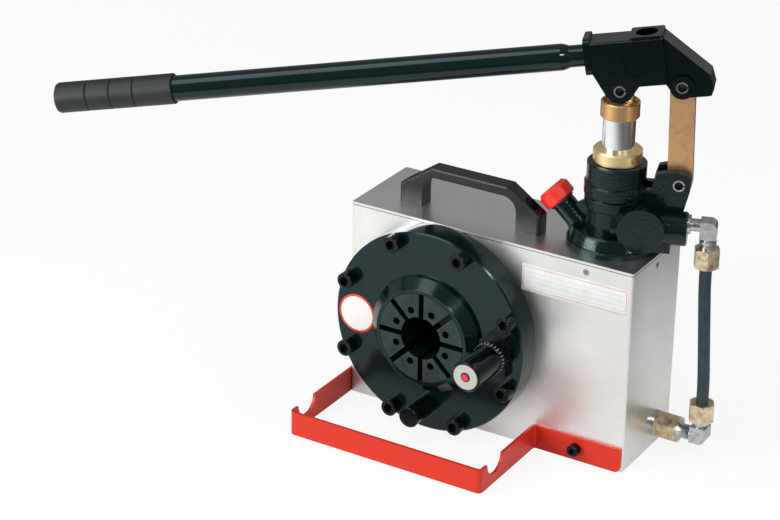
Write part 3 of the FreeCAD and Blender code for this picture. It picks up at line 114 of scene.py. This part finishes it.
def brushedStainless():
    # cold-rolled sheet brushed along its length: fine lines, cloudy patches and soft reflections
    material, tree, sockets = newMaterial("brushedStainless", stainless["grey"], stainless["low"], 1.0)
    here = objectPlace(tree)
    axes = addNode(tree, "SeparateXYZ", {"Vector": here}).node.outputs
    normal = addNode(tree, "NewGeometry", {}, "Normal")
    facing = addNode(tree, "SeparateXYZ", {"Vector": normal}, "X")
    sideways = addNode(tree, "Math", {0: facing}, operation="ABSOLUTE")
    across = addNode(tree, "Math", {0: axes["Y"], 1: axes["Z"]}, operation="ADD")
    long = addNode(tree, "CombineXYZ", {"X": axes["X"], "Y": across})
    side = addNode(tree, "CombineXYZ", {"X": axes["Z"], "Y": axes["Y"]})
    lines = addNode(tree, "Mix", {0: sideways, 4: long, 5: side}, 1, data_type="VECTOR")
    frequency = 1.0 / stainless["lineSpacing"]
    stretch = (frequency / stainless["lineStretch"], frequency, 1.0)
    stretched = addNode(tree, "Mapping", {"Vector": lines, "Scale": stretch})
    brushed = addNode(tree, "TexNoise", {"Vector": stretched, "Scale": 1.0, "Detail": fineDetail})
    cloudy = addNode(tree, "TexNoise", {"Vector": here, "Scale": 1.0 / stainless["cloud"],
                                        "Detail": stainless["cloudDetail"],
                                        "Roughness": stainless["cloudRagged"]})
    share = stainless["lineShare"]
    fine = addNode(tree, "Math", {0: brushed, 1: share}, operation="MULTIPLY")
    broad = addNode(tree, "Math", {0: cloudy, 1: 1 - share}, operation="MULTIPLY")
    uneven = addNode(tree, "Math", {0: fine, 1: broad}, operation="ADD")
    addNode(tree, "MapRange", {"Value": uneven, "To Min": stainless["low"], "To Max": stainless["high"]},
            to=sockets["Roughness"])
    addNode(tree, "ValToRGB", {"Fac": uneven}, to=sockets["Base Color"], stops=stainless["stops"])
    above = addNode(tree, "Math", {0: axes["Z"], 1: stainless["seamAt"]}, operation="SUBTRACT")
    fromSeam = addNode(tree, "Math", {0: above}, operation="ABSOLUTE")
    seam = addNode(tree, "Math", {0: fromSeam, 1: stainless["seamHalf"]}, operation="LESS_THAN")
    overlay(tree, sockets, seam, stainless["seam"])
    addNode(tree, "Bump", {"Height": brushed, "Distance": stainless["lineDepth"],
                           "Strength": stainless["lineStrength"]}, to=sockets["Normal"])
    return material


blackSheen = "#C8E4E6"
enamel = {"IOR": 1.5, "cloud": 40 * mm, "smoother": 0.8, "rougher": 1.3, "strength": 0.5, "lumps": 4}


def glossEnamel(name, base, roughness, peel, depth, sheen=blackSheen):
    # sprayed enamel: even gloss over a faint orange peel
    material, tree, sockets = newMaterial(name, base, roughness, IOR=enamel["IOR"],
                                          Specular_Tint=colour(sheen))
    here = objectPlace(tree)
    cloudy = addNode(tree, "TexNoise", {"Vector": here, "Scale": 1.0 / enamel["cloud"],
                                        "Detail": patchDetail})
    addNode(tree, "MapRange", {"Value": cloudy, "To Min": roughness * enamel["smoother"],
                               "To Max": roughness * enamel["rougher"]}, to=sockets["Roughness"])
    waves = addNode(tree, "TexNoise", {"Vector": here, "Scale": 1.0 / peel, "Detail": fineDetail})
    addNode(tree, "Bump", {"Height": waves, "Distance": depth, "Strength": enamel["strength"]},
            to=sockets["Normal"])
    return material


def enamelledCasting(name, base, grain, depth, low, high):
    # sand-cast iron under thick black enamel: the paint smooths the grains and keeps a wet shine
    material, tree, sockets = newMaterial(name, base, low, IOR=enamel["IOR"],
                                          Specular_Tint=colour(blackSheen))
    here = objectPlace(tree)
    grains = addNode(tree, "TexNoise", {"Vector": here, "Scale": 1.0 / grain, "Detail": fineDetail})
    lumpScale = 1.0 / (enamel["lumps"] * grain)
    lumps = addNode(tree, "TexNoise", {"Vector": here, "Scale": lumpScale, "Detail": fineDetail})
    relief = addNode(tree, "Math", {0: grains, 1: lumps}, operation="ADD")
    addNode(tree, "MapRange", {"Value": grains, "To Min": low, "To Max": high}, to=sockets["Roughness"])
    addNode(tree, "Bump", {"Height": relief, "Distance": depth, "Strength": enamel["strength"]},
            to=sockets["Normal"])
    return material


toolSteel = {"stops": [(0.3, "#1B2A2A"), (0.7, "#2B3B3B")], "paintedFlankShade": "#0C1415", "metallic": 0.55,
             "specular": 0.5, "low": 0.34, "high": 0.5, "patch": 14 * mm, "grain": 0.8 * mm,
             "depth": 0.02 * mm, "strength": 0.4, "faceLimit": 0.5}


def hardenedSteel():
    # oil-blackened tool steel: satin dark grey faces with a green cast; the flanks are painted shade, near
    # black and without shine, to keep the gaps between the dies dark
    material, tree, sockets = newMaterial("blackenedToolSteel", toolSteel["paintedFlankShade"], toolSteel["low"])
    here = objectPlace(tree)
    normal = addNode(tree, "NewGeometry", {}, "Normal")
    facing = addNode(tree, "SeparateXYZ", {"Vector": normal}, "Y")
    level = addNode(tree, "Math", {0: facing}, operation="ABSOLUTE")
    face = addNode(tree, "Math", {0: level, 1: toolSteel["faceLimit"]}, operation="GREATER_THAN")
    patches = addNode(tree, "TexNoise", {"Vector": here, "Scale": 1.0 / toolSteel["patch"],
                                         "Detail": patchDetail})
    ground = addNode(tree, "ValToRGB", {"Fac": patches}, stops=toolSteel["stops"])
    # painted shade: surfaces that don't face front or back take the near-black flank colour, and below lose
    # metallic and specular shine
    addNode(tree, "Mix", {0: face, 6: colour(toolSteel["paintedFlankShade"]), 7: ground}, 2, sockets["Base Color"],
            data_type="RGBA")
    for socket, key in (("Metallic", "metallic"), ("Specular IOR Level", "specular")):
        addNode(tree, "Math", {0: face, 1: toolSteel[key]}, to=sockets[socket], operation="MULTIPLY")
    addNode(tree, "MapRange", {"Value": patches, "To Min": toolSteel["low"], "To Max": toolSteel["high"]},
            to=sockets["Roughness"])
    grain = addNode(tree, "TexNoise", {"Vector": here, "Scale": 1.0 / toolSteel["grain"],
                                       "Detail": fineDetail})
    addNode(tree, "Bump", {"Height": grain, "Distance": toolSteel["depth"],
                           "Strength": toolSteel["strength"]}, to=sockets["Normal"])
    return material


def ringedMetal(name, grey, scale, low, high, depth, strength):
    # metal turned or ground round an axis: very fine rings across it
    material, tree, sockets = newMaterial(name, grey, low, 1.0)
    rings = addNode(tree, "TexNoise", {"Vector": objectPlace(tree, scale), "Scale": 1.0,
                                       "Detail": fineDetail})
    addNode(tree, "MapRange", {"Value": rings, "To Min": low, "To Max": high}, to=sockets["Roughness"])
    addNode(tree, "Bump", {"Height": rings, "Distance": depth, "Strength": strength}, to=sockets["Normal"])
    return material


blackened = [(0.3, "#0A1113"), (0.7, "#162022")]
# patch and grain are sizes, and ragged is how broken the patches' edges are
mottledLooks = {
    # blackened screw steel: near black, oily sheen
    "oxide": {"name": "blackOxideSteel", "stops": blackened, "gloss": (0.16, 0.3), "metallic": 0.6,
              "patch": 5 * mm},
    # the same steel polished on the adjuster's drum
    "drumOxide": {"name": "polishedOxideSteel", "stops": blackened, "gloss": (0.1, 0.18), "metallic": 0.6,
                  "patch": 5 * mm},
    # injection-moulded nylon: fine spark-eroded grain, matt sheen
    "nylon": {"name": "mouldedNylon", "stops": [(0.3, "#070E0F"), (0.7, "#0E1719")],
              "gloss": (0.3344, 0.4256), "IOR": 1.46, "patch": 20 * mm, "grain": 0.6 * mm,
              "depth": 0.03 * mm, "strength": 0.5},
    "redPlastic": {"name": "mouldedRedPlastic", "stops": [(0.3, "#CF2418"), (0.7, "#DD3222")],
                   "gloss": (0.2992, 0.3808), "IOR": 1.46, "patch": 20 * mm, "grain": 0.8 * mm,
                   "depth": 0.03 * mm, "strength": 0.5},
    # vulcanised rubber: matt, slightly grey bloom
    "rubber": {"name": "mouldedRubber", "stops": [(0.3, "#081113"), (0.75, "#101C1E")],
               "gloss": (0.45, 0.62), "IOR": 1.52, "patch": 12 * mm, "detail": 4.0, "ragged": 0.6,
               "grain": 0.7 * mm, "depth": 0.04 * mm, "strength": 0.5},
    # zinc plate with yellow chromate: gold with pink and green interference patches
    "goldZinc": {"name": "yellowZincPlate", "gloss": (0.255, 0.425),
                 "stops": [(0.28, "#EDD9A4"), (0.46, "#FBE3AA"), (0.6, "#F5D4A6"), (0.75, "#E6DAB0")]},
    "linkZinc": {"name": "yellowZincBar", "gloss": (0.3, 0.5),
                 "stops": [(0.28, "#DDB67E"), (0.46, "#E8BE80"), (0.6, "#E4A886"), (0.75, "#D2C090")]},
    "collarZinc": {"name": "yellowZincCollar", "gloss": (0.27, 0.45),
                   "stops": [(0.28, "#C9A866"), (0.46, "#D8B472"), (0.6, "#DDAA7E"), (0.75, "#BFAF7C")]},
    # yellow zinc that has gone dull and greenish on the hose nuts
    "dullZinc": {"name": "dulledZincPlate", "gloss": (0.26, 0.44), "metallic": 1.0, "patch": 7 * mm,
                 "ragged": 0.6, "stops": [(0.32, "#A08C72"), (0.5, "#CFBE9C"), (0.68, "#E0D2B8")]},
    # clear zinc plate on a forging: silver grey, softly uneven
    "brightZinc": {"name": "brightZincPlate", "stops": [(0.3, "#A3A7A8"), (0.7, "#C6C9C9")],
                   "gloss": (0.16, 0.3), "metallic": 1.0, "patch": 6 * mm, "grain": 2.5 * mm,
                   "depth": 0.04 * mm, "strength": 0.3},
    # smooth extruded hose cover: dark blue-grey, satin
    "hose": {"name": "hoseCover", "stops": [(0.3, "#18242D"), (0.7, "#22313C")], "gloss": (0.36, 0.5),
             "IOR": 1.5, "patch": 10 * mm},
}
chromate = {"metallic": 1.0, "patch": 11 * mm, "ragged": 0.55, "glossPatch": 3 * mm, "grain": 0.6 * mm,
            "depth": 0.015 * mm, "strength": 0.4}
for lookName in ("goldZinc", "linkZinc", "collarZinc"):
    mottledLooks[lookName].update(chromate)


def mottled(name, look):
    # patches of noise blend the colours and the gloss, and a finer noise gives the grain
    optics = {"IOR": look["IOR"]} if "IOR" in look else {}
    low, high = look["gloss"]
    material, tree, sockets = newMaterial(name, look["stops"][0][1], low, look.get("metallic", 0.0), **optics)
    here = objectPlace(tree)
    patches = addNode(tree, "TexNoise", {"Vector": here, "Scale": 1.0 / look["patch"],
                                         "Detail": look.get("detail", patchDetail),
                                         "Roughness": look.get("ragged", 0.5)})
    addNode(tree, "ValToRGB", {"Fac": patches}, to=sockets["Base Color"], stops=look["stops"])
    gloss = patches
    if "glossPatch" in look:
        gloss = addNode(tree, "TexNoise", {"Vector": here, "Scale": 1.0 / look["glossPatch"],
                                           "Detail": patchDetail})
    addNode(tree, "MapRange", {"Value": gloss, "To Min": low, "To Max": high}, to=sockets["Roughness"])
    if "grain" in look:
        grain = addNode(tree, "TexNoise", {"Vector": here, "Scale": 1.0 / look["grain"],
                                           "Detail": fineDetail})
        addNode(tree, "Bump", {"Height": grain, "Distance": look["depth"], "Strength": look["strength"]},
                to=sockets["Normal"])
    return material


def ringedDisc(name, centre, rings, roughness, smudge=90.0, wear=0.15):
    # printed disc facing the front: one colour for each ring outwards from the centre
    material, tree, sockets = newMaterial(name, rings[0][1], roughness, IOR=1.5)
    place = objectPlace(tree, shift=(-centre[0], 0.0, -centre[2]))
    reach = rings[-1][0]
    share = addNode(tree, "Math", {0: reachFrom(tree, place, crossways), 1: reach}, operation="DIVIDE")
    stops = [(0.0, rings[0][1])] + [(inner[0] / reach, outer[1]) for inner, outer in zip(rings, rings[1:])]
    printed = addNode(tree, "ValToRGB", {"Fac": share}, to=sockets["Base Color"], stops=stops)
    printed.node.color_ramp.interpolation = "CONSTANT"
    smudges = addNode(tree, "TexNoise", {"Vector": place, "Scale": smudge, "Detail": patchDetail})
    addNode(tree, "MapRange", {"Value": smudges, "To Min": roughness * (1 - wear),
                               "To Max": roughness * (1 + wear)}, to=sockets["Roughness"])
    return material


finishes = {key: mottled(look["name"], look) for key, look in mottledLooks.items()}
finishes.update({
    "stainless": brushedStainless(),
    "coverEnamel": glossEnamel("coverEnamel", "#041416", 0.14, peel=1.6 * mm, depth=0.03 * mm),
    "tubeEnamel": glossEnamel("tubeEnamel", "#071416", 0.09, peel=2.5 * mm, depth=0.03 * mm),
    "redEnamel": glossEnamel("redEnamel", "#BE2919", 0.36, peel=1.8 * mm, depth=0.04 * mm, sheen="#F4C4B8"),
    "casting": enamelledCasting("enamelledCasting", "#051114", grain=2.4 * mm, depth=0.5 * mm,
                                low=0.08, high=0.2),
    "leverEnamel": enamelledCasting("enamelledFork", "#03090B", grain=1.8 * mm, depth=0.2 * mm,
                                    low=0.1, high=0.18),
    "toolSteel": hardenedSteel(),
    # hard chrome ground round the upright rod, with rings 0.4 mm apart: near mirror
    "chrome": ringedMetal("groundChrome", "#F2F3F4", scale=(1.0, 1.0, 2500.0), low=0.08, high=0.14,
                          depth=0.004 * mm, strength=0.3),
    # plain machined steel with an oil film, turned round the bore with rings 0.8 mm apart: mid grey
    "steel": ringedMetal("turnedSteel", "#9A9B9C", scale=(1.0, 1200.0, 1.0), low=0.22, high=0.42,
                         depth=0.01 * mm, strength=0.4),
})
print("materials made")


# camera at the photograph's viewing angle
cameraPlace = {"at": (1.0709, -2.0126, 1.2505), "azimuth": 31.26, "elevation": 25.27, "roll": 0.76,
               "lens": 110.8, "farthest": 30.0}


def makeCamera():
    a = math.radians(cameraPlace["azimuth"])
    e = math.radians(cameraPlace["elevation"])
    back = Vector((math.sin(a) * math.cos(e), -math.cos(a) * math.cos(e), math.sin(e)))
    right = Vector((math.cos(a), math.sin(a), 0.0))
    turn = Matrix((right, back.cross(right), back)).transposed()
    camera = bpy.data.objects.new("camera", bpy.data.cameras.new("camera"))
    camera.data.lens = cameraPlace["lens"]
    camera.data.clip_end = cameraPlace["farthest"]
    camera.matrix_world = (Matrix.Translation(cameraPlace["at"]) @ turn.to_4x4()
                           @ Matrix.Rotation(math.radians(cameraPlace["roll"]), 4, "Z"))
    scene.collection.objects.link(camera)
    scene.camera = camera


makeCamera()
print("camera placed")


# soft studio light, a pale floor and a white surround
# the floor's glow and dark grey far part are painted light and painted shade, seen only in reflections
studio = {"floorWidth": 14.0, "floorWhite": "#F4F4F2", "floorRoughness": 0.9, "floorSeen": 0.86,
          "paintedGlowShare": 0.42, "paintedFloorShade": "#4A4C4E", "paintedGlowReach": 0.5, "paintedShadeReach": 1.05,
          "paintedGlowShift": (0.16, 0.16, 0.0), "fadeFrom": 1.2, "fadeTo": 4.5,
          "surround": 0.5, "behindMachine": 0.32, "behindCamera": 0.2, "rearward": (-0.469, 0.773, 0.427),
          "forward": (0.469, -0.773, 0.427), "coneEdge": 0.45, "coneCore": 0.9, "aim": (0.0, 0.0, 0.15),
          "keyAt": (-1.9, -2.8, 1.0), "keySize": 1.9, "keyPower": 108.0,
          "topAt": (-1.2, -1.2, 3.0), "topSize": 1.8, "topPower": 24.0,
          "fillAt": (1.5, -1.75, 2.35), "fillSize": 0.55, "fillPower": 22.0,
          "rimAt": (1.9, -0.42, 0.42), "rimSize": 0.6, "rimPower": 9.0}


def makeLight(name):
    light = bpy.data.lights.new(name, "AREA")
    light.size = studio[name + "Size"]
    light.energy = studio[name + "Power"]
    at = Vector(studio[name + "At"])
    lamp = bpy.data.objects.new(name, light)
    lamp.location = at
    lamp.rotation_euler = (Vector(studio["aim"]) - at).to_track_quat("-Z", "Y").to_euler()
    scene.collection.objects.link(lamp)


def makeFloor():
    # matt white paper that fades to white with the distance; glossy rays see a painted white glow near the
    # machine and painted dark grey shade farther out
    mesh = bpy.data.meshes.new("floor")
    bm = bmesh.new()
    bmesh.ops.create_grid(bm, x_segments=1, y_segments=1, size=studio["floorWidth"] / 2)
    bm.to_mesh(mesh)
    bm.free()
    floor = bpy.data.objects.new("floor", mesh)
    scene.collection.objects.link(floor)
    material, tree, sockets = newMaterial("paperFloor", studio["floorWhite"], studio["floorRoughness"])
    rays = addNode(tree, "LightPath", {}).node.outputs
    glossy = rays["Is Glossy Ray"]
    away = reachFrom(tree, objectPlace(tree, shift=studio["paintedGlowShift"]), (1.0, 1.0, 0.0))
    far = addNode(tree, "MapRange", {"Value": away, "From Min": studio["paintedGlowReach"],
                                     "From Max": studio["paintedShadeReach"]}, interpolation_type="SMOOTHSTEP")
    # painted shade: far from the machine, glossy rays see the floor dark grey
    dark = addNode(tree, "Math", {0: glossy, 1: far}, operation="MULTIPLY")
    addNode(tree, "Mix", {0: dark, 6: colour(studio["floorWhite"]), 7: colour(studio["paintedFloorShade"])}, 2,
            sockets["Base Color"], data_type="RGBA")
    # painted glow: near the machine, glossy rays see a share of white light from the floor
    close = addNode(tree, "Math", {0: 1.0, 1: far}, operation="SUBTRACT")
    near = addNode(tree, "Math", {0: glossy, 1: close}, operation="MULTIPLY")
    mirrored = addNode(tree, "Math", {0: near, 1: studio["paintedGlowShare"]}, operation="MULTIPLY")
    fade = addNode(tree, "MapRange", {"Value": away, "From Min": studio["fadeFrom"],
                                      "From Max": studio["fadeTo"], "To Min": studio["floorSeen"]})
    seen = addNode(tree, "Math", {0: rays["Is Camera Ray"], 1: fade}, operation="MULTIPLY")
    share = addNode(tree, "Math", {0: seen, 1: mirrored}, operation="MAXIMUM")
    white = addNode(tree, "Emission", {"Color": (1, 1, 1, 1), "Strength": 1.0})
    paper = tree.nodes["Principled BSDF"].outputs[0]
    addNode(tree, "MixShader", {0: share, 1: paper, 2: white},
            to=tree.nodes["Material Output"].inputs["Surface"])
    mesh.materials.append(material)


def makeWorld():
    # white to the camera and grey to the machine, darker behind the machine and behind the camera
    world = bpy.data.worlds.new("surround")
    world.use_nodes = True
    tree = world.node_tree
    background = tree.nodes["Background"]
    seen = addNode(tree, "LightPath", {}, "Is Camera Ray")
    toward = addNode(tree, "TexCoord", {}, "Generated")
    level = studio["surround"]
    for direction, value in ((studio["rearward"], studio["behindMachine"]),
                             (studio["forward"], studio["behindCamera"])):
        near = addNode(tree, "VectorMath", {0: toward, 1: direction}, "Value", operation="DOT_PRODUCT")
        level = addNode(tree, "MapRange", {"Value": near, "From Min": studio["coneEdge"],
                                           "From Max": studio["coneCore"], "To Min": level,
                                           "To Max": value}, interpolation_type="SMOOTHSTEP")
    addNode(tree, "MapRange", {"Value": seen, "To Min": level, "To Max": 1.0},
            to=background.inputs["Strength"])
    background.inputs["Color"].default_value = (1, 1, 1, 1)
    scene.world = world
    scene.view_settings.view_transform = "Standard"


makeFloor()
makeWorld()
for lightName in ("key", "top", "fill", "rim"):
    makeLight(lightName)
print("studio lit")


# which CAD nodes get each finish; the dies get tool steel and every other node plain steel
nodesWith = {
    "stainless": ("tank_body", "tank_lid"),
    "coverEnamel": ("front_cover", "head_cylinder"),
    "casting": ("pump_body",),
    "leverEnamel": ("lever_head",),
    "tubeEnamel": ("lever_tube",),
    "redEnamel": ("support_bracket",),
    "redPlastic": ("filler_cap",),
    "rubber": ("lever_grip", "piston_seals", "filler_gasket"),
    "nylon": ("carry_handle",),
    "oxide": ("head_screws", "return_cap", "bracket_screws", "handle_screws", "rear_tube"),
    "drumOxide": ("adjuster_thimble",),
    "toolSteel": ("ring_piston",),
    "chrome": ("pump_ram",),
    "goldZinc": ("gland_nut",),
    "collarZinc": ("ram_collar",),
    "linkZinc": ("link_bar",),
    "dullZinc": ("upper_hose_nut", "lower_hose_nut", "wall_nut"),
    "brightZinc": ("upper_elbow", "lower_elbow", "wall_ring", "bulkhead_stem", "port_washer", "head_nuts",
                   "handle_nuts", "bulkhead_inner_nut"),
    "hose": ("pressure_hose",),
}


def dressNode(name, material):
    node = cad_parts[name]
    node.data.materials.clear()
    node.data.materials.append(material)


def dressNodes():
    chosen = {name: finish for finish, names in nodesWith.items() for name in names}
    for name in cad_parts:
        plain = "toolSteel" if name.startswith("die_") else "steel"
        dressNode(name, finishes[chosen.get(name, plain)])


dressNodes()


# rolled spring pins of the linkage: bright zinc outside, with painted shade in their bores
# bore is the radius that the painted shade reaches, and the pins stand turned with the pump by pumpTurn
# degrees
springPin = {"bore": 4.4 * mm, "pumpTurn": 20.0, "paintedBoreShade": "#0B0D0E"}


def paintedBorePin(name):
    material = mottled("paintedBorePin", mottledLooks["brightZinc"])
    tree = material.node_tree
    low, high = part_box(name)
    centre = tuple((a + b) / 2 for a, b in zip(low, high))
    local = addNode(tree, "VectorMath", {0: objectPlace(tree), 1: centre}, operation="SUBTRACT")
    turnBack = (0.0, 0.0, -math.radians(springPin["pumpTurn"]))
    turned = addNode(tree, "Mapping", {"Vector": local, "Rotation": turnBack})
    radius = reachFrom(tree, turned, crossways)
    # painted shade: the near-black colour fills the pin's bore, standing for the dark inside of a hollow pin
    inside = addNode(tree, "Math", {0: radius, 1: springPin["bore"]}, operation="LESS_THAN")
    overlay(tree, tree.nodes["Principled BSDF"].inputs, inside, springPin["paintedBoreShade"])
    return material


for pinName in ("ram_pin", "lever_link_pin", "lug_pin"):
    dressNode(pinName, paintedBorePin(pinName))
print("nodes dressed")


# shared mesh helpers
def finishPiece(name, bm, material, body, smooth=35.0):
    bmesh.ops.recalc_face_normals(bm, faces=bm.faces)
    mesh = bpy.data.meshes.new(name)
    bm.to_mesh(mesh)
    bm.free()
    mesh.materials.append(material)
    mesh.shade_smooth()
    mesh.set_sharp_from_angle(angle=math.radians(smooth))
    piece = bpy.data.objects.new(name, mesh)
    scene.collection.objects.link(piece)
    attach(piece, body)


def roundEdges(bm, edges, width):
    bmesh.ops.bevel(bm, geom=edges, offset=width, affect="EDGES", segments=2, profile=0.5, material=-1)


def roundDisc(bm, centre, radius, thickness, edge, segments=96):
    # a flat disc that faces the front, its back on the plane through centre
    made = bmesh.ops.create_cone(bm, cap_ends=True, segments=segments, radius1=radius, radius2=radius,
                                 depth=thickness)
    bmesh.ops.rotate(bm, verts=made["verts"], matrix=Matrix.Rotation(math.radians(90), 3, "X"))
    bmesh.ops.translate(bm, verts=made["verts"], vec=Vector(centre) - Vector((0, thickness / 2, 0)))
    front = centre[1] - thickness
    roundEdges(bm, [e for e in bm.edges if all(abs(v.co.y - front) < tolerance for v in e.verts)], edge)


# round sign plate on the cover, left bare inside its red rim
# the hub stands out by hubHeight, and the red goes on past the plate's edge to redReach
signPlate = {"offset": 86.6 * mm, "radius": 22 * mm, "rim": 2.6 * mm, "redReach": 24.2 * mm,
             "thickness": 0.6 * mm, "edge": 0.2 * mm, "white": "#D9D5D1", "red": "#C92A22",
             "roughness": 0.3, "hubHeight": 14 * mm}


def makeSignPlate():
    low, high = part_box("front_cover")
    centre = ((low[0] + high[0]) / 2 - signPlate["offset"], low[1] + signPlate["hubHeight"],
              (low[2] + high[2]) / 2)
    bm = bmesh.new()
    roundDisc(bm, centre, signPlate["radius"], signPlate["thickness"], signPlate["edge"])
    rings = [(signPlate["radius"] - signPlate["rim"], signPlate["white"]),
             (signPlate["redReach"], signPlate["red"])]
    material = ringedDisc("printedSign", centre, rings, signPlate["roughness"])
    finishPiece("round_sign_plate", bm, material, "machine")


makeSignPlate()


# dial face: red button, dark ring, grey disc and black rim
dial = {"roughness": 0.3, "rings": [(3.5 * mm, "#C8302A"), (5.3 * mm, "#1C1718"), (13.6 * mm, "#A9A6A2"),
                                    (14.6 * mm, "#1A1B1C")]}
dialLow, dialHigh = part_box("adjuster_dial")
dialCentre = ((dialLow[0] + dialHigh[0]) / 2, dialLow[1], (dialLow[2] + dialHigh[2]) / 2)
dressNode("adjuster_dial", ringedDisc("printedDial", dialCentre, dial["rings"], dial["roughness"]))
print("sign plate and dial made")


# graduated ring behind the adjuster's drum: pale marks in black oxide steel
graduation = {"marks": 28, "share": 0.16, "reach": 5.0 * mm, "white": "#A9ADAC", "inside": 17.2 * mm,
              "gloss": (0.2, 0.34)}


def graduatedSteel():
    # engraved marks filled white, each pointing along the ring's axis
    look = dict(mottledLooks["oxide"], gloss=graduation["gloss"])
    material = mottled("graduatedSteel", look)
    tree = material.node_tree
    sockets = tree.nodes["Principled BSDF"].inputs
    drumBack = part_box("adjuster_thimble")[1][1]
    place = objectPlace(tree, shift=(-dialCentre[0], -drumBack, -dialCentre[2]))
    axes = addNode(tree, "SeparateXYZ", {"Vector": place}).node.outputs
    angle = addNode(tree, "Math", {0: axes["Z"], 1: axes["X"]}, operation="ARCTAN2")
    turn = addNode(tree, "Math", {0: angle, 1: graduation["marks"] / math.tau}, operation="MULTIPLY")
    part = addNode(tree, "Math", {0: turn}, operation="FRACT")
    mark = addNode(tree, "Math", {0: part, 1: graduation["share"]}, operation="LESS_THAN")
    radius = reachFrom(tree, place, crossways)
    outside = addNode(tree, "Math", {0: radius, 1: graduation["inside"]}, operation="GREATER_THAN")
    ahead = addNode(tree, "Math", {0: axes["Y"], 1: graduation["reach"]}, operation="LESS_THAN")
    shown = addNode(tree, "Math", {0: mark, 1: outside}, operation="MULTIPLY")
    mask = addNode(tree, "Math", {0: shown, 1: ahead}, operation="MULTIPLY")
    overlay(tree, sockets, mask, graduation["white"])
    addNode(tree, "MapRange", {"Value": mask, "To Min": look["metallic"], "To Max": 0.0},
            to=sockets["Metallic"])
    return material


dressNode("adjuster_base", graduatedSteel())


# type plate on the tank's front: a bare sheet with a thin red frame and ruled lines
typePlate = {"left": 40.5 * mm, "right": 161.0 * mm, "low": 177.5 * mm, "high": 206.8 * mm,
             "thickness": 0.5 * mm, "edge": 0.15 * mm, "frameInset": 2.0 * mm, "frameWidth": 0.6 * mm,
             "lineStep": 5.4 * mm, "lineWidth": 0.35 * mm, "frame": "#BE5A52", "line": "#A3A6A6",
             "ground": [(0.3, "#C0C2C0"), (0.7, "#CECFCC")], "cloud": 18 * mm, "smudge": 60.0,
             "gloss": (0.3, 0.42)}


def printedPlate(centre, halfWidth, halfHeight):
    # printed aluminium foil: pale ground, red frame and grey rules
    low, high = typePlate["gloss"]
    material, tree, sockets = newMaterial("printedPlate", typePlate["line"], low, IOR=1.5)
    place = objectPlace(tree, shift=(-centre[0], 0.0, -centre[2]))
    axes = addNode(tree, "SeparateXYZ", {"Vector": place}).node.outputs
    inwards = []
    for half, axis in ((halfWidth, "X"), (halfHeight, "Z")):
        fromMiddle = addNode(tree, "Math", {0: axes[axis]}, operation="ABSOLUTE")
        inwards.append(addNode(tree, "Math", {0: half, 1: fromMiddle}, operation="SUBTRACT"))
    inward = addNode(tree, "Math", {0: inwards[0], 1: inwards[1]}, operation="MINIMUM")
    frameLine = addNode(tree, "Math", {0: inward, 1: typePlate["frameInset"], 2: typePlate["frameWidth"] / 2},
                        operation="COMPARE")
    above = addNode(tree, "Math", {0: axes["Z"], 1: halfHeight}, operation="ADD")
    rule = addNode(tree, "Math", {0: above, 1: typePlate["lineStep"] / 2}, operation="PINGPONG")
    thin = addNode(tree, "Math", {0: rule, 1: typePlate["lineWidth"] / 2}, operation="LESS_THAN")
    inside = addNode(tree, "Math", {0: inward, 1: 2 * typePlate["frameInset"]}, operation="GREATER_THAN")
    ruled = addNode(tree, "Math", {0: thin, 1: inside}, operation="MULTIPLY")
    cloudy = addNode(tree, "TexNoise", {"Vector": place, "Scale": 1.0 / typePlate["cloud"],
                                        "Detail": patchDetail})
    addNode(tree, "ValToRGB", {"Fac": cloudy}, to=sockets["Base Color"], stops=typePlate["ground"])
    overlay(tree, sockets, ruled, typePlate["line"])
    overlay(tree, sockets, frameLine, typePlate["frame"])
    smudges = addNode(tree, "TexNoise", {"Vector": place, "Scale": typePlate["smudge"],
                                         "Detail": patchDetail})
    addNode(tree, "MapRange", {"Value": smudges, "To Min": low, "To Max": high}, to=sockets["Roughness"])
    return material


def makeTypePlate():
    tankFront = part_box("tank_body")[0][1]
    halfWidth = (typePlate["right"] - typePlate["left"]) / 2
    halfHeight = (typePlate["high"] - typePlate["low"]) / 2
    thickness = typePlate["thickness"]
    centre = Vector((typePlate["left"] + halfWidth, tankFront - thickness / 2, typePlate["low"] + halfHeight))
    bm = bmesh.new()
    bmesh.ops.create_cube(bm, size=1.0)
    bmesh.ops.scale(bm, verts=bm.verts, vec=(2 * halfWidth, thickness, 2 * halfHeight))
    bmesh.ops.translate(bm, verts=bm.verts, vec=centre)
    roundEdges(bm, [e for e in bm.edges if all(v.co.y < centre.y for v in e.verts)], typePlate["edge"])
    finishPiece("type_plate", bm, printedPlate(centre, halfWidth, halfHeight), "machine")


makeTypePlate()


# thread on the lower elbow's leg, between its taper and the block
legThread = {"pitch": 1.5 * mm, "root": 7.02 * mm, "crest": 7.9 * mm, "start": 4.2 * mm, "turns": 6,
             "segments": 64, "smooth": 20.0}


def makeLegThread():
    ringLow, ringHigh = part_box("wall_ring")
    axisY = (ringLow[1] + ringHigh[1]) / 2
    axisZ = (ringLow[2] + ringHigh[2]) / 2
    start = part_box("wall_nut")[1][0] + legThread["start"]
    bm = bmesh.new()
    outline = [(start, legThread["root"])]
    for ridge in range(legThread["turns"]):
        outline.append((start + (ridge + 0.5) * legThread["pitch"], legThread["crest"]))
        outline.append((start + (ridge + 1) * legThread["pitch"], legThread["root"]))
    corners = [bm.verts.new((x, axisY, axisZ + radius)) for x, radius in outline]
    edges = [bm.edges.new(pair) for pair in zip(corners, corners[1:] + corners[:1])]
    bmesh.ops.spin(bm, geom=corners + edges, cent=(0.0, axisY, axisZ), axis=(1.0, 0.0, 0.0), angle=math.tau,
                   steps=legThread["segments"], use_merge=True)
    finishPiece("leg_thread", bm, finishes["brightZinc"], "machine", legThread["smooth"])


makeLegThread()
print("marks, type plate and thread made")
